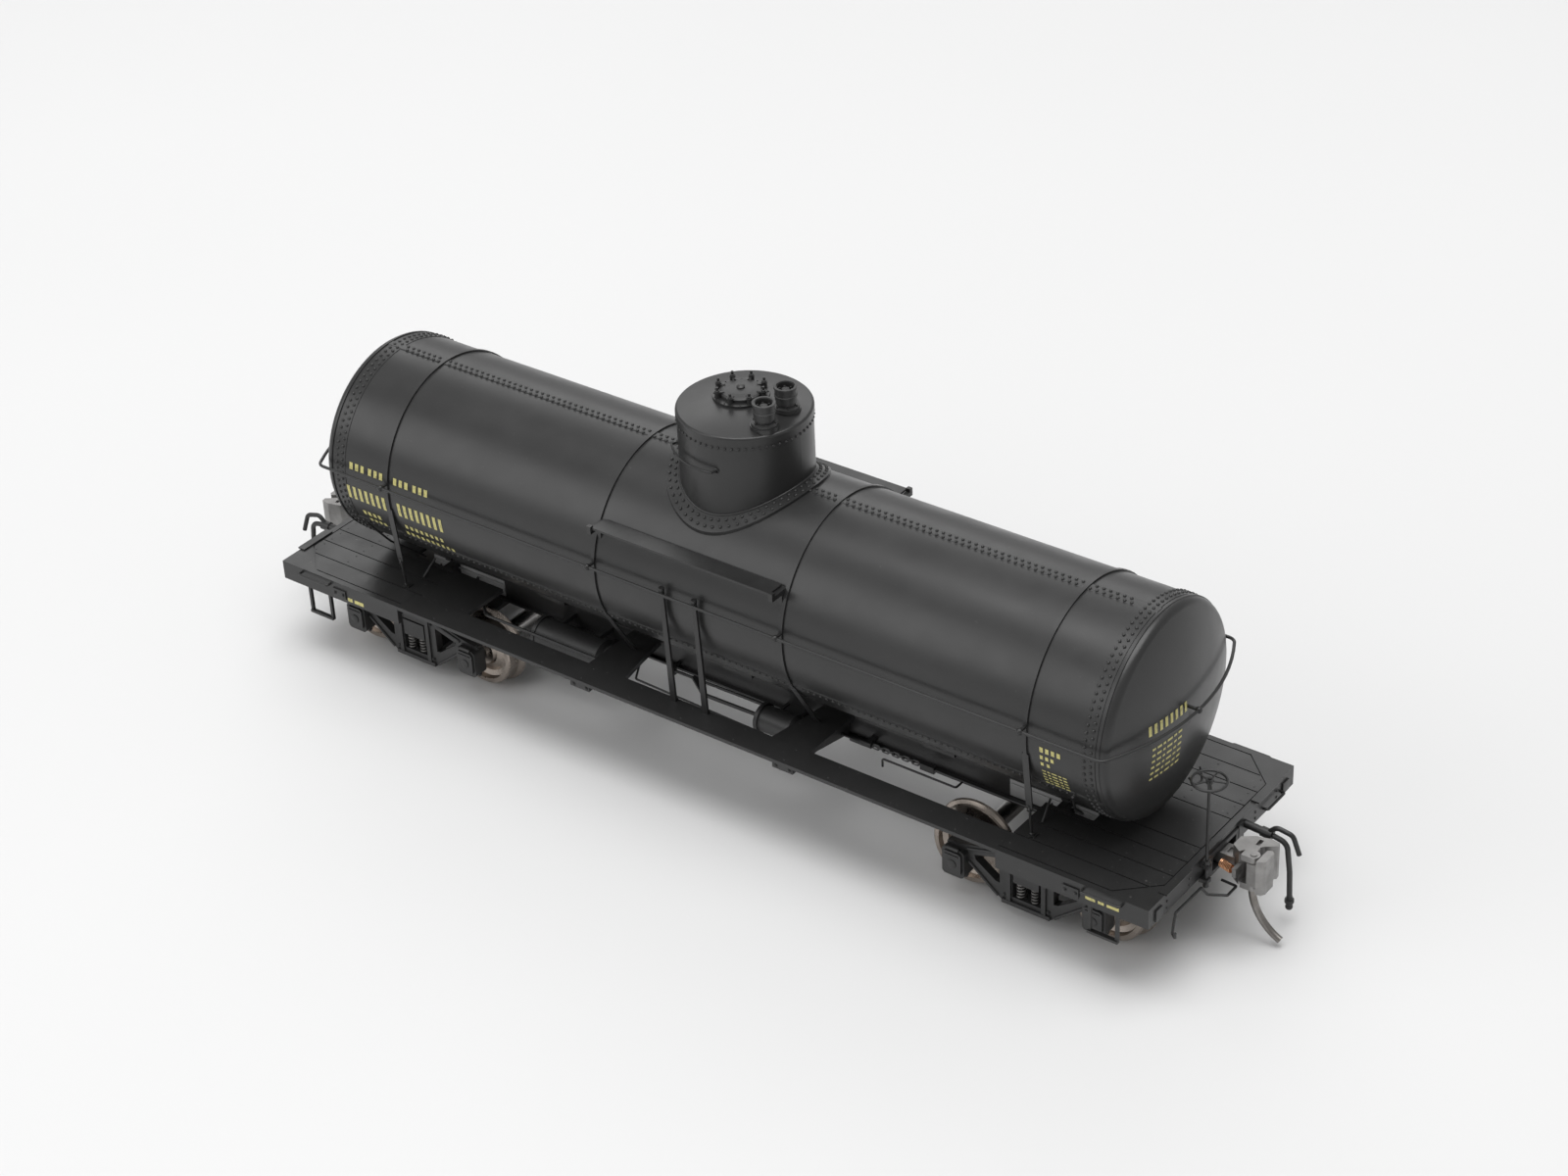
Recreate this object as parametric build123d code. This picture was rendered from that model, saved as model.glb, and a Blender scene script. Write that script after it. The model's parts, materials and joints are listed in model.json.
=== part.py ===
from build123d import *
import math
import os

# Brass-built model tank wagon, HO scale (1:87), on two swivelling trucks.
# Millimetres. +X runs along the wagon toward the hand-brake end, +Y to its left
# side, +Z up. The origin is under the middle of the wagon, on the plane that the
# wheel flanges stand on. End "a" is the +X end, end "b" the -X end.

# tank
tank_radius = 13.3
tank_thickness = 0.6
tank_axis_z = 27.25
shell_half_length = 57.4
head_bulge = 3.7
head_knuckle = 1.1
band_inner_x = 14.15
band_outer_x = 48.0
band_width = 0.5
strap_width = 0.85
band_thickness = 0.2
band_outer_radius = tank_radius + 0.02 + band_thickness
inner_strap_leaves_at = 121.0
inner_strap_foot_y = 6.9
outer_strap_leaves_at = 100.0
outer_strap_foot_y = 11.8
strap_rod_top = 17.0
strap_rod_radius = 0.17
strap_rod_lean = 6.2
strap_rod_shift = 0.08
strap_rod_lap = 0.5
strap_lap = 0.3
saddle_half_width = 4.3
saddle_thickness = 1.0

# dome
dome_radius = 8.15
dome_thickness = 0.5
dome_shell_top = 47.9
dome_rim_z = 48.75
dome_crown_z = 49.75
flange_outer_radius = 9.9
flange_thickness = 0.3
manway_x = -0.9
manway_y = 0.6
manway_radius = 2.6
manway_bolt_circle = 2.95
valve_spots = ((5.5, -3.3), (5.3, 1.2))

# frame and platforms
half_length = 66.1
half_width = 16.25
deck_top = 12.8
deck_thickness = 0.5
platform_inner_x = 45.85
infill_inner_x = 37.05
side_sill_depth = 2.65
sill_thickness = 0.6
board_inner_y = 12.6
slot_inner_y = 3.5
slot_outer_y = 5.6
slot_end_x = 52.3
center_sill_half = 2.9
center_sill_bottom = 9.1
center_sill_end = 55.8
crossbearer_x = 15.6
plank_groove = 0.16

# handrail
rail_z = 28.9
rail_y = 14.4
rail_corner_x = 58.6
rail_end_x = 62.4
rail_wire = 0.2
post_half_gap = 2.45
post_offset_x = -0.55
post_top_y = 13.95
post_foot_y = 13.15
post_top_width = 0.6
post_foot_width = 0.85
post_thickness = 0.34
post_top = 29.3

# trucks and wheels
truck_centre = 47.4
wheelbase = 19.25
axle_z = 5.45
tread_radius = 4.815
flange_radius = 5.45
wheel_back = 7.25
wheel_width = 2.79
flange_width = 0.7
frame_inner_y = 11.0
frame_thickness = 1.1
axle_radius = 1.1
journal_radius = 0.55
journal_end = 12.25
bearing_clearance = 0.05
kingpin_radius = 1.0
kingpin_clearance = 0.07
bolster_top = 8.4

# couplers
coupler_z = 10.55
coupler_pivot_x = 61.2
box_half_width = 3.15
box_height = 3.0
box_inner_end = 56.4
box_outer_end = 66.3
head_front_x = 72.5
head_height = 4.7
knuckle_pivot_x = 70.7
knuckle_pivot_y = -1.15
knuckle_pin_radius = 0.4

os.makedirs("parts", exist_ok=True)


def block(x0, x1, y0, y1, z0, z1):
    """A box between two corners."""
    centre = Pos((x0 + x1) / 2, (y0 + y1) / 2, (z0 + z1) / 2)
    return centre * Box(abs(x1 - x0), abs(y1 - y0), abs(z1 - z0))


def rod(start, end, radius):
    """A round bar from one point to another."""
    direction = Vector(*end) - Vector(*start)
    return Solid.make_cylinder(radius, direction.length, Plane(origin=start, z_dir=direction))


def wire(points, bend, radius):
    """A bent round wire along straight runs, each corner turned through a small arc."""
    path = FilletPolyline(*points, radius=bend)
    return sweep(Plane(origin=path @ 0, z_dir=path % 0) * Circle(radius), path=path)


def cylinder_x(radius, x0, x1, z=0.0):
    """A cylinder lying along X."""
    return Solid.make_cylinder(radius, x1 - x0, Plane(origin=(x0, 0, z), z_dir=(1, 0, 0)))


def cylinder_y(radius, x, y0, y1, z):
    """A cylinder lying along Y."""
    return Solid.make_cylinder(radius, y1 - y0, Plane(origin=(x, y0, z), z_dir=(0, 1, 0)))


def cylinder_z(radius, x, y, z0, z1):
    """An upright cylinder."""
    return Solid.make_cylinder(radius, z1 - z0, Plane(origin=(x, y, z0), z_dir=(0, 0, 1)))


def turned(profile, plane):
    """A solid of revolution: profile holds (radius, height) pairs about the plane's normal."""
    outline = make_face(Plane.XZ * Polyline(*profile, close=True))
    return plane.location * revolve(outline, Axis.Z)


def half_turn(shape):
    """The same shape at the other end of the wagon."""
    return Rot(0, 0, 180) * shape


def solids_of(shape):
    """Every solid in a shape or a list of shapes."""
    if isinstance(shape, (list, tuple)):
        return [solid for item in shape for solid in solids_of(item)]
    return list(shape.solids())


def save(name, shape):
    """One named node, its separate solids kept apart."""
    found = solids_of(shape)
    assert found, name
    for solid in found:
        assert solid.is_valid, name
        assert solid.volume > 0, name
    body = found[0] if len(found) == 1 else Compound(children=found)
    body.label = name
    export_step(body, f"parts/{name}.step")


# ---------------------------------------------------------------- tank
bore = tank_radius - tank_thickness
shell = cylinder_x(tank_radius, -shell_half_length, shell_half_length, tank_axis_z)
shell = shell - cylinder_x(bore, -shell_half_length - 1, shell_half_length + 1, tank_axis_z)
save("tank_shell", shell)


def dished(radius, bulge, knuckle, plane, depth):
    """A solid dished end: a plain rim of the given depth, a rounded knuckle, a spherical crown."""
    reach = radius - knuckle
    rise = bulge - 0.2
    ball = (reach**2 + rise**2 - knuckle**2) / (2 * (rise - knuckle))
    lean = math.atan2(ball - rise, reach)
    touch = (reach + knuckle * math.cos(lean), 0.2 + knuckle * math.sin(lean))
    halfway = (reach + knuckle * math.cos(lean / 2), 0.2 + knuckle * math.sin(lean / 2))
    sweep_angle = (math.pi / 2 + lean) / 2
    crown = (ball * math.cos(sweep_angle), bulge - ball + ball * math.sin(sweep_angle))
    outline = [
        Line((0, -depth), (radius, -depth)),
        Line((radius, -depth), (radius, 0.2)),
        ThreePointArc((radius, 0.2), halfway, touch),
        ThreePointArc(touch, crown, (0, bulge)),
        Line((0, bulge), (0, -depth)),
    ]
    face = make_face(Plane.XZ * Wire(outline))
    return plane.location * revolve(face, Axis.Z)


def tank_head():
    """Dished head with a spigot that fits inside the end of the shell."""
    seam = Plane(origin=(shell_half_length, 0, tank_axis_z), z_dir=(1, 0, 0))
    outer = dished(tank_radius, head_bulge, head_knuckle, seam, 0)
    inner = dished(bore - 0.6, head_bulge - 0.6, head_knuckle, seam, 2)
    spigot = cylinder_x(bore - 0.04, shell_half_length - 1.4, shell_half_length, tank_axis_z)
    return outer + spigot - inner


head = tank_head()
save("tank_head_a", head)
save("tank_head_b", half_turn(head))


def tank_band(x, leaves_at, foot_y):
    """A strap over the tank whose two ends leave it at an angle and run straight to the frame."""
    outer = band_outer_radius
    inner = outer - band_thickness
    ring = cylinder_x(outer, x - band_width / 2, x + band_width / 2)
    ring = ring - cylinder_x(inner, x - 1, x + 1)
    angle = math.radians(leaves_at)
    reach = 40.0
    corners = (
        (0, 0),
        (-reach * math.sin(angle), reach * math.cos(angle)),
        (-reach, -reach),
        (reach, -reach),
        (reach * math.sin(angle), reach * math.cos(angle)),
    )
    low = make_face(Plane.YZ * Polyline(*corners, close=True))
    ring = ring - extrude(Pos(x - 2, 0, 0) * low, 4, dir=(1, 0, 0))
    top = (inner * math.sin(angle), inner * math.cos(angle))
    foot = (foot_y, deck_top - tank_axis_z)
    run = math.hypot(top[0] - foot[0], top[1] - foot[1])
    across = ((top[1] - foot[1]) / run * band_thickness, (foot[0] - top[0]) / run * band_thickness)
    up = ((top[0] - foot[0]) / run * strap_lap, (top[1] - foot[1]) / run * strap_lap)
    outline = (
        (top[0] + up[0], top[1] + up[1]),
        foot,
        (foot[0] + across[0], foot[1] + across[1]),
        (top[0] + across[0] + up[0], top[1] + across[1] + up[1]),
    )
    strap = make_face(Plane.YZ * Polyline(*outline, close=True))
    strap = extrude(Pos(x - strap_width / 2, 0, 0) * strap, strap_width, dir=(1, 0, 0))
    strap = strap - cylinder_x(inner, x - 1, x + 1)
    parts = Pos(0, 0, tank_axis_z) * (ring + strap + mirror(strap, Plane.XZ))
    return parts & block(x - 2, x + 2, -30, 30, deck_top, 60)




def rodded_band(x):
    """An outer band: each strap stops above the platform and a threaded rod goes on down."""
    band = tank_band(x, outer_strap_leaves_at, outer_strap_foot_y)
    band = band & block(x - 2, x + 2, -30, 30, strap_rod_top, 60)
    slope = (strap_rod_top - deck_top) * math.tan(math.radians(strap_rod_lean))
    for side in (-1, 1):
        foot = side * (outer_strap_foot_y + band_thickness / 2)
        top = foot + side * (slope + strap_rod_shift)
        band = band + rod((x, foot, deck_top), (x, top, strap_rod_top + strap_rod_lap), strap_rod_radius)
    return band


bands = [rodded_band(x) for x in (-band_outer_x, band_outer_x)]
bands += [tank_band(x, inner_strap_leaves_at, inner_strap_foot_y) for x in (-band_inner_x, band_inner_x)]
save("tank_bands", bands)


def tank_saddle(x, hole):
    """A cradle soldered under the tank, standing on the centre sill."""
    body = block(
        x - saddle_thickness / 2,
        x + saddle_thickness / 2,
        -saddle_half_width,
        saddle_half_width,
        deck_top,
        16,
    )
    if hole:
        body = block(x - 2.2, x + 2.2, -saddle_half_width, saddle_half_width, deck_top, 16)
        body = body - cylinder_z(0.8, x, 0, deck_top - 1, 17)
    return body - cylinder_x(tank_radius + 0.01, x - 5, x + 5, tank_axis_z)


saddles = [tank_saddle(x, False) for x in (-47.6, 47.6)]
saddles += [tank_saddle(x, True) for x in (-30.0, 0.0, 30.0)]
save("tank_saddles", saddles)


def tank_screw(x):
    """Cheese-head screw up through the centre sill into a cradle."""
    shank = cylinder_z(0.78, x, 0, deck_top - deck_thickness - 0.2, 13.7)
    cap = cylinder_z(1.5, x, 0, deck_top - deck_thickness - 1.2, deck_top - deck_thickness - 0.02)
    slot = block(x - 0.2, x + 0.2, -2, 2, deck_top - deck_thickness - 1.4, deck_top - 1.3)
    return shank + cap - slot


save("tank_screws", [tank_screw(x) for x in (-30.0, 30.0)])

# ---------------------------------------------------------------- dome
tube = cylinder_z(dome_radius, 0, 0, 30, dome_shell_top)
tube = tube - cylinder_z(dome_radius - dome_thickness, 0, 0, 29, dome_shell_top + 1)
tube = tube - cylinder_x(tank_radius + 0.01, -20, 20, tank_axis_z)
save("dome_shell", tube)

rim_plane = Plane(origin=(0, 0, dome_rim_z - 0.3))
cap_rise = dome_crown_z - dome_rim_z + 0.3
cap_skirt = dome_rim_z - 0.3 - dome_shell_top
cap = dished(dome_radius + 0.12, cap_rise, 0.35, rim_plane, cap_skirt)
seat = cylinder_z(manway_radius + 0.85, manway_x, manway_y, dome_shell_top + 0.2, dome_crown_z + 0.2)
cap = cap + seat
for vx, vy in valve_spots:
    cap = cap + cylinder_z(1.75, vx, vy, dome_shell_top + 0.2, dome_crown_z - 0.15)
save("dome_cap", cap)

flange = cylinder_x(tank_radius + 0.02 + flange_thickness, -15, 15, tank_axis_z)
flange = flange - cylinder_x(tank_radius + 0.02, -16, 16, tank_axis_z)
collar = cylinder_z(flange_outer_radius, 0, 0, 30, 45)
collar = collar - cylinder_z(dome_radius + 0.03, 0, 0, 29, 46)
save("dome_flange", flange & collar)

cover = turned(
    (
        (0, 0),
        (manway_radius, 0),
        (manway_radius, 0.35),
        (manway_radius - 0.25, 0.5),
        (manway_radius * 0.6, 0.62),
        (0, 0.72),
    ),
    Plane(origin=(manway_x, manway_y, dome_crown_z + 0.2)),
)
save("manway_cover", cover)


def manway_bolt(index):
    """Upright eye bolt beside the manway cover, with its nut."""
    angle = math.radians(45 * index + 12)
    x = manway_x + manway_bolt_circle * math.cos(angle)
    y = manway_y + manway_bolt_circle * math.sin(angle)
    base = dome_crown_z + 0.2
    return cylinder_z(0.16, x, y, base, base + 1.35) + cylinder_z(0.33, x, y, base, base + 0.75)


save("manway_bolts", [manway_bolt(i) for i in range(8)])


def safety_valve(x, y):
    """Open-topped valve casing on a round flange, its stem inside."""
    base = dome_crown_z - 0.15
    body = turned(
        (
            (0, 0),
            (1.6, 0),
            (1.6, 0.32),
            (1.15, 0.4),
            (1.15, 0.7),
            (1.3, 0.8),
            (1.3, 2.75),
            (1.02, 2.75),
            (1.02, 1.9),
            (0.45, 1.9),
            (0.45, 2.45),
            (0, 2.6),
        ),
        Plane(origin=(x, y, base)),
    )
    for step in range(6):
        turn = math.radians(60 * step + 15)
        px = x + 1.38 * math.cos(turn)
        py = y + 1.38 * math.sin(turn)
        body = body + cylinder_z(0.13, px, py, base + 0.1, base + 0.5)
        qx = x + 0.78 * math.cos(turn)
        qy = y + 0.78 * math.sin(turn)
        body = body + cylinder_z(0.13, qx, qy, base + 1.8, base + 2.4)
    return body


save("safety_valves", [safety_valve(x, y) for x, y in valve_spots])

# ---------------------------------------------------------------- dome steps, handrail, ladder posts
step_z = 34.4
step_back = tank_radius * math.sin(math.acos((step_z - 0.15 - tank_axis_z) / tank_radius)) + 0.25
step_front = 13.95


def dome_step():
    """Narrow walking board beside the dome on two brackets soldered to the tank."""
    pieces = [block(-13.3, 13.3, -step_front, -step_back, step_z - 0.15, step_z + 0.15)]
    for x in (-13.6, 13.6):
        angle_in = math.sin(math.acos((step_z - 1.0 - tank_axis_z) / tank_radius)) * tank_radius
        arm = block(x - 0.3, x + 0.3, -step_front, -step_back + 1.5, step_z - 0.75, step_z - 0.17)
        leg = block(x - 0.3, x + 0.3, -angle_in - 0.6, -angle_in + 1.0, step_z - 2.2, step_z - 0.17)
        lug = block(x - 0.3, x + 0.3, -step_front - 0.25, -step_front + 0.3, step_z - 0.75, step_z + 0.3)
        pieces.append(arm + leg + lug - cylinder_x(tank_radius + 0.01, -20, 20, tank_axis_z))
    return pieces


near_steps = dome_step()
save("dome_steps", near_steps + [half_turn(piece) for piece in near_steps])

end_bow = ThreePointArc(
    (rail_corner_x, -rail_y, rail_z), (rail_end_x, 0, rail_z), (rail_corner_x, rail_y, rail_z)
)
near_run = Line((0, -rail_y, rail_z), (rail_corner_x, -rail_y, rail_z))
far_run = Line((rail_corner_x, rail_y, rail_z), (0, rail_y, rail_z))
half_path = Wire([near_run, end_bow, far_run])
corners = [v for v in half_path.vertices() if abs(v.X - rail_corner_x) < 0.01]
half_path = half_path.fillet_2d(1.2, corners)
half_rail = sweep(Plane(origin=(0, -rail_y, rail_z), z_dir=(1, 0, 0)) * Circle(rail_wire), path=half_path)
save("handrail", [half_rail, half_turn(half_rail)])


def stanchion(x):
    """Turned knob that holds the rail off the near side of the tank."""
    knob = Pos(x, -rail_y, rail_z) * Sphere(0.42)
    foot_y = tank_radius * math.sin(math.acos((rail_z - tank_axis_z) / tank_radius)) - 0.3
    pin = rod((x, -rail_y, rail_z), (x, -foot_y, rail_z), 0.2)
    hole = rod((x - 1, -rail_y, rail_z), (x + 1, -rail_y, rail_z), rail_wire + 0.03)
    return knob + pin - hole - cylinder_x(band_outer_radius + 0.01, x - 3, x + 3, tank_axis_z)


def end_stanchion():
    """The same knob in the middle of a tank head."""
    knob = Pos(rail_end_x, 0, rail_z) * Sphere(0.42)
    pin = rod((rail_end_x, 0, rail_z), (shell_half_length + head_bulge - 0.3, 0, rail_z), 0.2)
    hole = rod((rail_end_x, -1, rail_z), (rail_end_x, 1, rail_z), rail_wire + 0.03)
    return knob + pin - hole - head


knobs = [stanchion(x) for x in (-band_outer_x, -band_inner_x, band_inner_x, band_outer_x)]
knobs.append(end_stanchion())
save("handrail_stanchions", knobs + [half_turn(knob) for knob in knobs])


def ladder_post(x):
    """Tapered flat upright that leans out from its foot on the running board."""
    sections = []
    for y, z, width in ((post_foot_y, deck_top, post_foot_width), (post_top_y, post_top, post_top_width)):
        sections.append(Pos(x, -y, z) * Rectangle(width, post_thickness))
    knob = cylinder_z(0.36, x, -post_top_y, post_top - 0.1, post_top + 0.35)
    y = -post_foot_y
    foot = block(x - 0.3, x + 0.3, y - 0.17, y + 0.5, deck_top, deck_top + 0.25)
    return loft(sections) + knob + foot


posts = [ladder_post(post_offset_x + side * post_half_gap) for side in (-1, 1)]
save("ladder_posts", posts + [half_turn(post) for post in posts])

# ---------------------------------------------------------------- frame
plate_z = deck_top - deck_thickness
sill = block(
    -center_sill_end, center_sill_end, -center_sill_half, center_sill_half, center_sill_bottom, plate_z
)
sill = sill - block(-60, 60, -center_sill_half + 0.5, center_sill_half - 0.5, 5, plate_z)
sill = sill + block(-slot_end_x, slot_end_x, -slot_inner_y, slot_inner_y, plate_z, deck_top)
for side in (-1, 1):
    edge = side * center_sill_half
    sill = sill + block(
        -center_sill_end, center_sill_end, edge, edge + side * 0.6, center_sill_bottom, 9.4
    )
for x in (-30.0, 30.0):
    sill = sill - cylinder_z(0.85, x, 0, 8, 14)
for x in (-truck_centre, truck_centre):
    sill = sill - block(x - 2.2, x + 2.2, -5, 5, 8, 9.42)
save("center_sill", sill)


def body_bolster(x):
    """Cross member over a truck, deep at the centre pad and tapering to the side sills."""
    outline = make_face(
        Plane.YZ
        * Polyline(
            (-15.6, plate_z),
            (-15.6, 11.3),
            (-slot_outer_y, 10.2),
            (-center_sill_half - 0.02, 10.2),
            (-center_sill_half - 0.02, plate_z),
            close=True,
        )
    )
    arm = extrude(Pos(-1.5, 0, 0) * outline, 3, dir=(1, 0, 0))
    for side in (-1, 1):
        arm = arm - block(side * 0.45, side * 2, -slot_outer_y - 0.1, -2, 10, plate_z + 1)
    pad = block(-2.1, 2.1, -center_sill_half + 0.52, center_sill_half - 0.52, 8.45, plate_z - 0.02)
    pad = pad - cylinder_z(kingpin_radius + 0.01, 0, 0, 8, 11.5)
    return [Pos(x, 0, 0) * arm, Pos(x, 0, 0) * mirror(arm, Plane.XZ), Pos(x, 0, 0) * pad]


save("body_bolsters", body_bolster(-truck_centre) + body_bolster(truck_centre))


def crossbearer(x):
    """Cross member that carries the running boards, with a wide foot under each board."""
    outline = make_face(
        Plane.YZ
        * Polyline(
            (-16.0, plate_z),
            (-16.0, 11.5),
            (-12.4, 11.2),
            (-center_sill_half - 0.62, 9.4),
            (-center_sill_half - 0.02, 9.42),
            (-center_sill_half - 0.02, plate_z),
            close=True,
        )
    )
    web = extrude(Pos(x - 0.4, 0, 0) * outline, 0.8, dir=(1, 0, 0))
    foot = block(x - 1.5, x + 1.5, -16.1, -12.9, 11.5, plate_z)
    inward = -1 if x > 0 else 1
    plan = make_face(
        Plane.XY
        * Polyline(
            (x - inward * 1.5, -12.56),
            (x - inward * 1.5, -slot_inner_y - 0.02),
            (x + inward * 2.9, -slot_inner_y - 0.02),
            (x + inward * 3.5, -8.0),
            (x + inward * 4.3, -12.56),
            close=True,
        )
    )
    top = extrude(Pos(0, 0, plate_z - 0.35) * plan, 0.65)
    shelf = block(x - 1.5, x + 1.5, -13.0, -12.4, plate_z - 0.35, plate_z)
    side = web + foot + top + shelf
    return [side, mirror(side, Plane.XZ)]


save("crossbearers", crossbearer(-crossbearer_x) + crossbearer(crossbearer_x))


def platform_deck():
    """Planked end platform with one long inner tongue, open beside the centre sill."""
    deck = block(platform_inner_x, half_length, -half_width, half_width, plate_z, deck_top)
    tongue_side = board_inner_y - 0.02
    deck = deck + block(infill_inner_x, platform_inner_x + 0.1, slot_outer_y, tongue_side, plate_z, deck_top)
    deck = deck - block(platform_inner_x - 1, slot_end_x + 0.02, -slot_outer_y, slot_outer_y, 10, 14)
    depth = deck_top - 0.14
    for y in (3.3, 6.35, 9.4, 12.45):
        for side in (-1, 1):
            start = slot_end_x if y < slot_outer_y else platform_inner_x
            end = 65.2 if y < 12 else 63.9
            line = side * y
            deck = deck - block(start - 1, end, line - plank_groove / 2, line + plank_groove / 2, depth, 14)
    for side in (-1, 1):
        deck = deck - block(65.12, 65.28, min(0, side * 11.2), max(0, side * 11.2), depth, 14)
        deck = deck - block(platform_inner_x - 1, 60.75, side * 15.32, side * 15.48, depth, 14)
        slope = math.degrees(math.atan2(-4.2, 4.45))
        length = math.hypot(4.2, 4.45)
        cut = Box(length, plank_groove, 2)
        mitre = Pos(62.98, side * 13.35, depth + 1) * (Rot(0, 0, side * slope) * cut)
        deck = deck - mitre
        deck = deck + block(65.35, half_length + 0.35, side * 7.5, side * 12.9, deck_top, deck_top + 0.2)
    return deck


deck = platform_deck()
save("deck_a", deck)
save("deck_b", half_turn(deck))


def platform_sills(brake_end):
    """Side sills and end sill of one platform, open in the middle for the coupler."""
    low = deck_top - side_sill_depth
    frame = block(platform_inner_x, half_length, -half_width, half_width, low, plate_z)
    inside = block(
        platform_inner_x - 1,
        half_length - sill_thickness,
        -half_width + sill_thickness,
        half_width - sill_thickness,
        low - 1,
        plate_z + 1,
    )
    frame = frame - inside
    mouth = block(60, 70, -box_half_width - 0.05, box_half_width + 0.05, 5, 12.26)
    frame = frame - mouth
    for side in (-1, 1):
        inner = side * (box_half_width + 0.06)
        frame = frame + block(half_length - 1.2, half_length + 0.25, inner, inner + side * 1.1, 9.2, plate_z)
    if brake_end:
        for z in (9.7, 11.75):
            bracket = block(66.0, 67.15, -5.25, -4.35, z, z + 0.5)
            frame = frame + bracket
        frame = frame - cylinder_z(0.25, 66.75, -4.8, 9, 13)
    return frame


save("platform_sills_a", platform_sills(True))
save("platform_sills_b", half_turn(platform_sills(False)))

board = block(
    -platform_inner_x + 0.02,
    platform_inner_x - 0.02,
    -half_width,
    -board_inner_y,
    plate_z,
    deck_top,
)
save("running_boards", [board, half_turn(board)])

# ---------------------------------------------------------------- steps, grab irons, cut levers
low_sill = deck_top - side_sill_depth


def stirrup(x0, x1, side):
    """Foot step hanging from a side sill: two flat legs and a tread."""
    y0 = side * (half_width - sill_thickness)
    y1 = side * (half_width - 0.2)
    legs = block(x0, x0 + 0.4, y0, y1, 6.25, low_sill)
    legs = legs + block(x1 - 0.4, x1, y0, y1, 6.25, low_sill)
    return legs + block(x0, x1, y0, y1 + side * 0.15, 6.2, 6.55)


steps = [stirrup(58.1, 62.1, side) for side in (-1, 1)]
save("stirrup_steps", steps + [half_turn(step) for step in steps])


def side_grab(side):
    """Grab iron along the top of a side sill."""
    y0 = side * half_width
    y1 = side * (half_width + 0.65)
    return wire(((57.6, y0, 12.2), (57.6, y1, 12.2), (62.7, y1, 12.2), (62.7, y0, 12.2)), 0.3, 0.16)


def end_grab(side):
    """Grab iron across an end sill, outside the coupler."""
    x0 = half_length
    x1 = half_length + 0.6
    y0 = side * 13.2
    y1 = side * 9.2
    return wire(((x0, y0, 11.0), (x1, y0, 11.0), (x1, y1, 11.0), (x0, y1, 11.0)), 0.3, 0.16)


grabs = [side_grab(-1), side_grab(1), end_grab(1)]
save("grab_irons", grabs + [half_turn(grab) for grab in grabs])


def cut_lever():
    """Uncoupling lever: a bent wire from a hand hook at the corner to the coupler."""
    return wire(
        (
            (67.3, -12.4, 7.6),
            (67.2, -12.2, 6.7),
            (66.6, -11.8, 6.9),
            (66.6, -11.2, 9.4),
            (66.6, -5.6, 9.3),
            (67.0, -4.7, 7.9),
            (68.9, -3.6, 7.9),
            (68.9, -1.6, 7.9),
            (66.9, -1.5, 7.9),
        ),
        0.22,
        0.17,
    )


lever = cut_lever()
save("cut_levers", [lever, half_turn(lever)])

# ---------------------------------------------------------------- hand brake
staff = cylinder_z(0.2, 66.75, -4.8, 9.3, 24.3)
staff = staff + cylinder_z(0.42, 66.75, -4.8, 12.27, 12.8)
staff = staff + cylinder_z(0.36, 66.75, -4.8, 9.1, 9.65)
save("brake_staff", staff)

wheel_z = 23.85
hand_wheel = cylinder_z(0.45, 0, 0, -0.25, 0.25) - cylinder_z(0.22, 0, 0, -1, 1)
for spoke in range(5):
    angle = math.radians(72 * spoke + 20)
    start = (0.35 * math.cos(angle), 0.35 * math.sin(angle), 0)
    tip = (1.93 * math.cos(angle), 1.93 * math.sin(angle), 0)
    hand_wheel = hand_wheel + rod(start, tip, 0.11)
ring = [
    (2.0 + 0.18 * math.cos(math.radians(a)), 0.18 * math.sin(math.radians(a)))
    for a in range(15, 375, 30)
]
hand_wheel = Pos(66.75, -4.8, wheel_z) * (hand_wheel + turned(ring, Plane.XY))
save("brake_wheel", hand_wheel)

# ---------------------------------------------------------------- air brake gear under the tank
cylinder_y0 = -6.9
cylinder_z0 = 10.0
brake_cylinder = turned(
    (
        (0, 0),
        (1.95, 0),
        (1.95, 0.5),
        (1.7, 0.5),
        (1.7, 4.6),
        (1.95, 4.6),
        (1.95, 5.1),
        (1.5, 5.6),
        (0, 5.7),
    ),
    Plane(origin=(5.6, cylinder_y0, cylinder_z0), z_dir=(1, 0, 0), x_dir=(0, 1, 0)),
)
bracket = block(7.2, 9.6, -5.6, -center_sill_half - 0.02, 9.8, 10.3)
save("brake_cylinder", brake_cylinder + bracket)

reservoir = turned(
    (
        (0, 0),
        (1.8, 0.15),
        (2.4, 0.6),
        (2.4, 1.1),
        (2.25, 1.1),
        (2.25, 10.6),
        (2.4, 10.6),
        (2.4, 11.1),
        (1.8, 11.55),
        (0, 11.7),
    ),
    Plane(origin=(-30.6, -6.6, 9.2), z_dir=(1, 0, 0), x_dir=(0, 1, 0)),
)
for x in (-27.5, -21.5):
    hanger = block(x - 0.4, x + 0.4, -6.0, -center_sill_half - 0.02, 10.6, 11.2)
    reservoir = reservoir + hanger
save("air_reservoir", reservoir)

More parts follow.
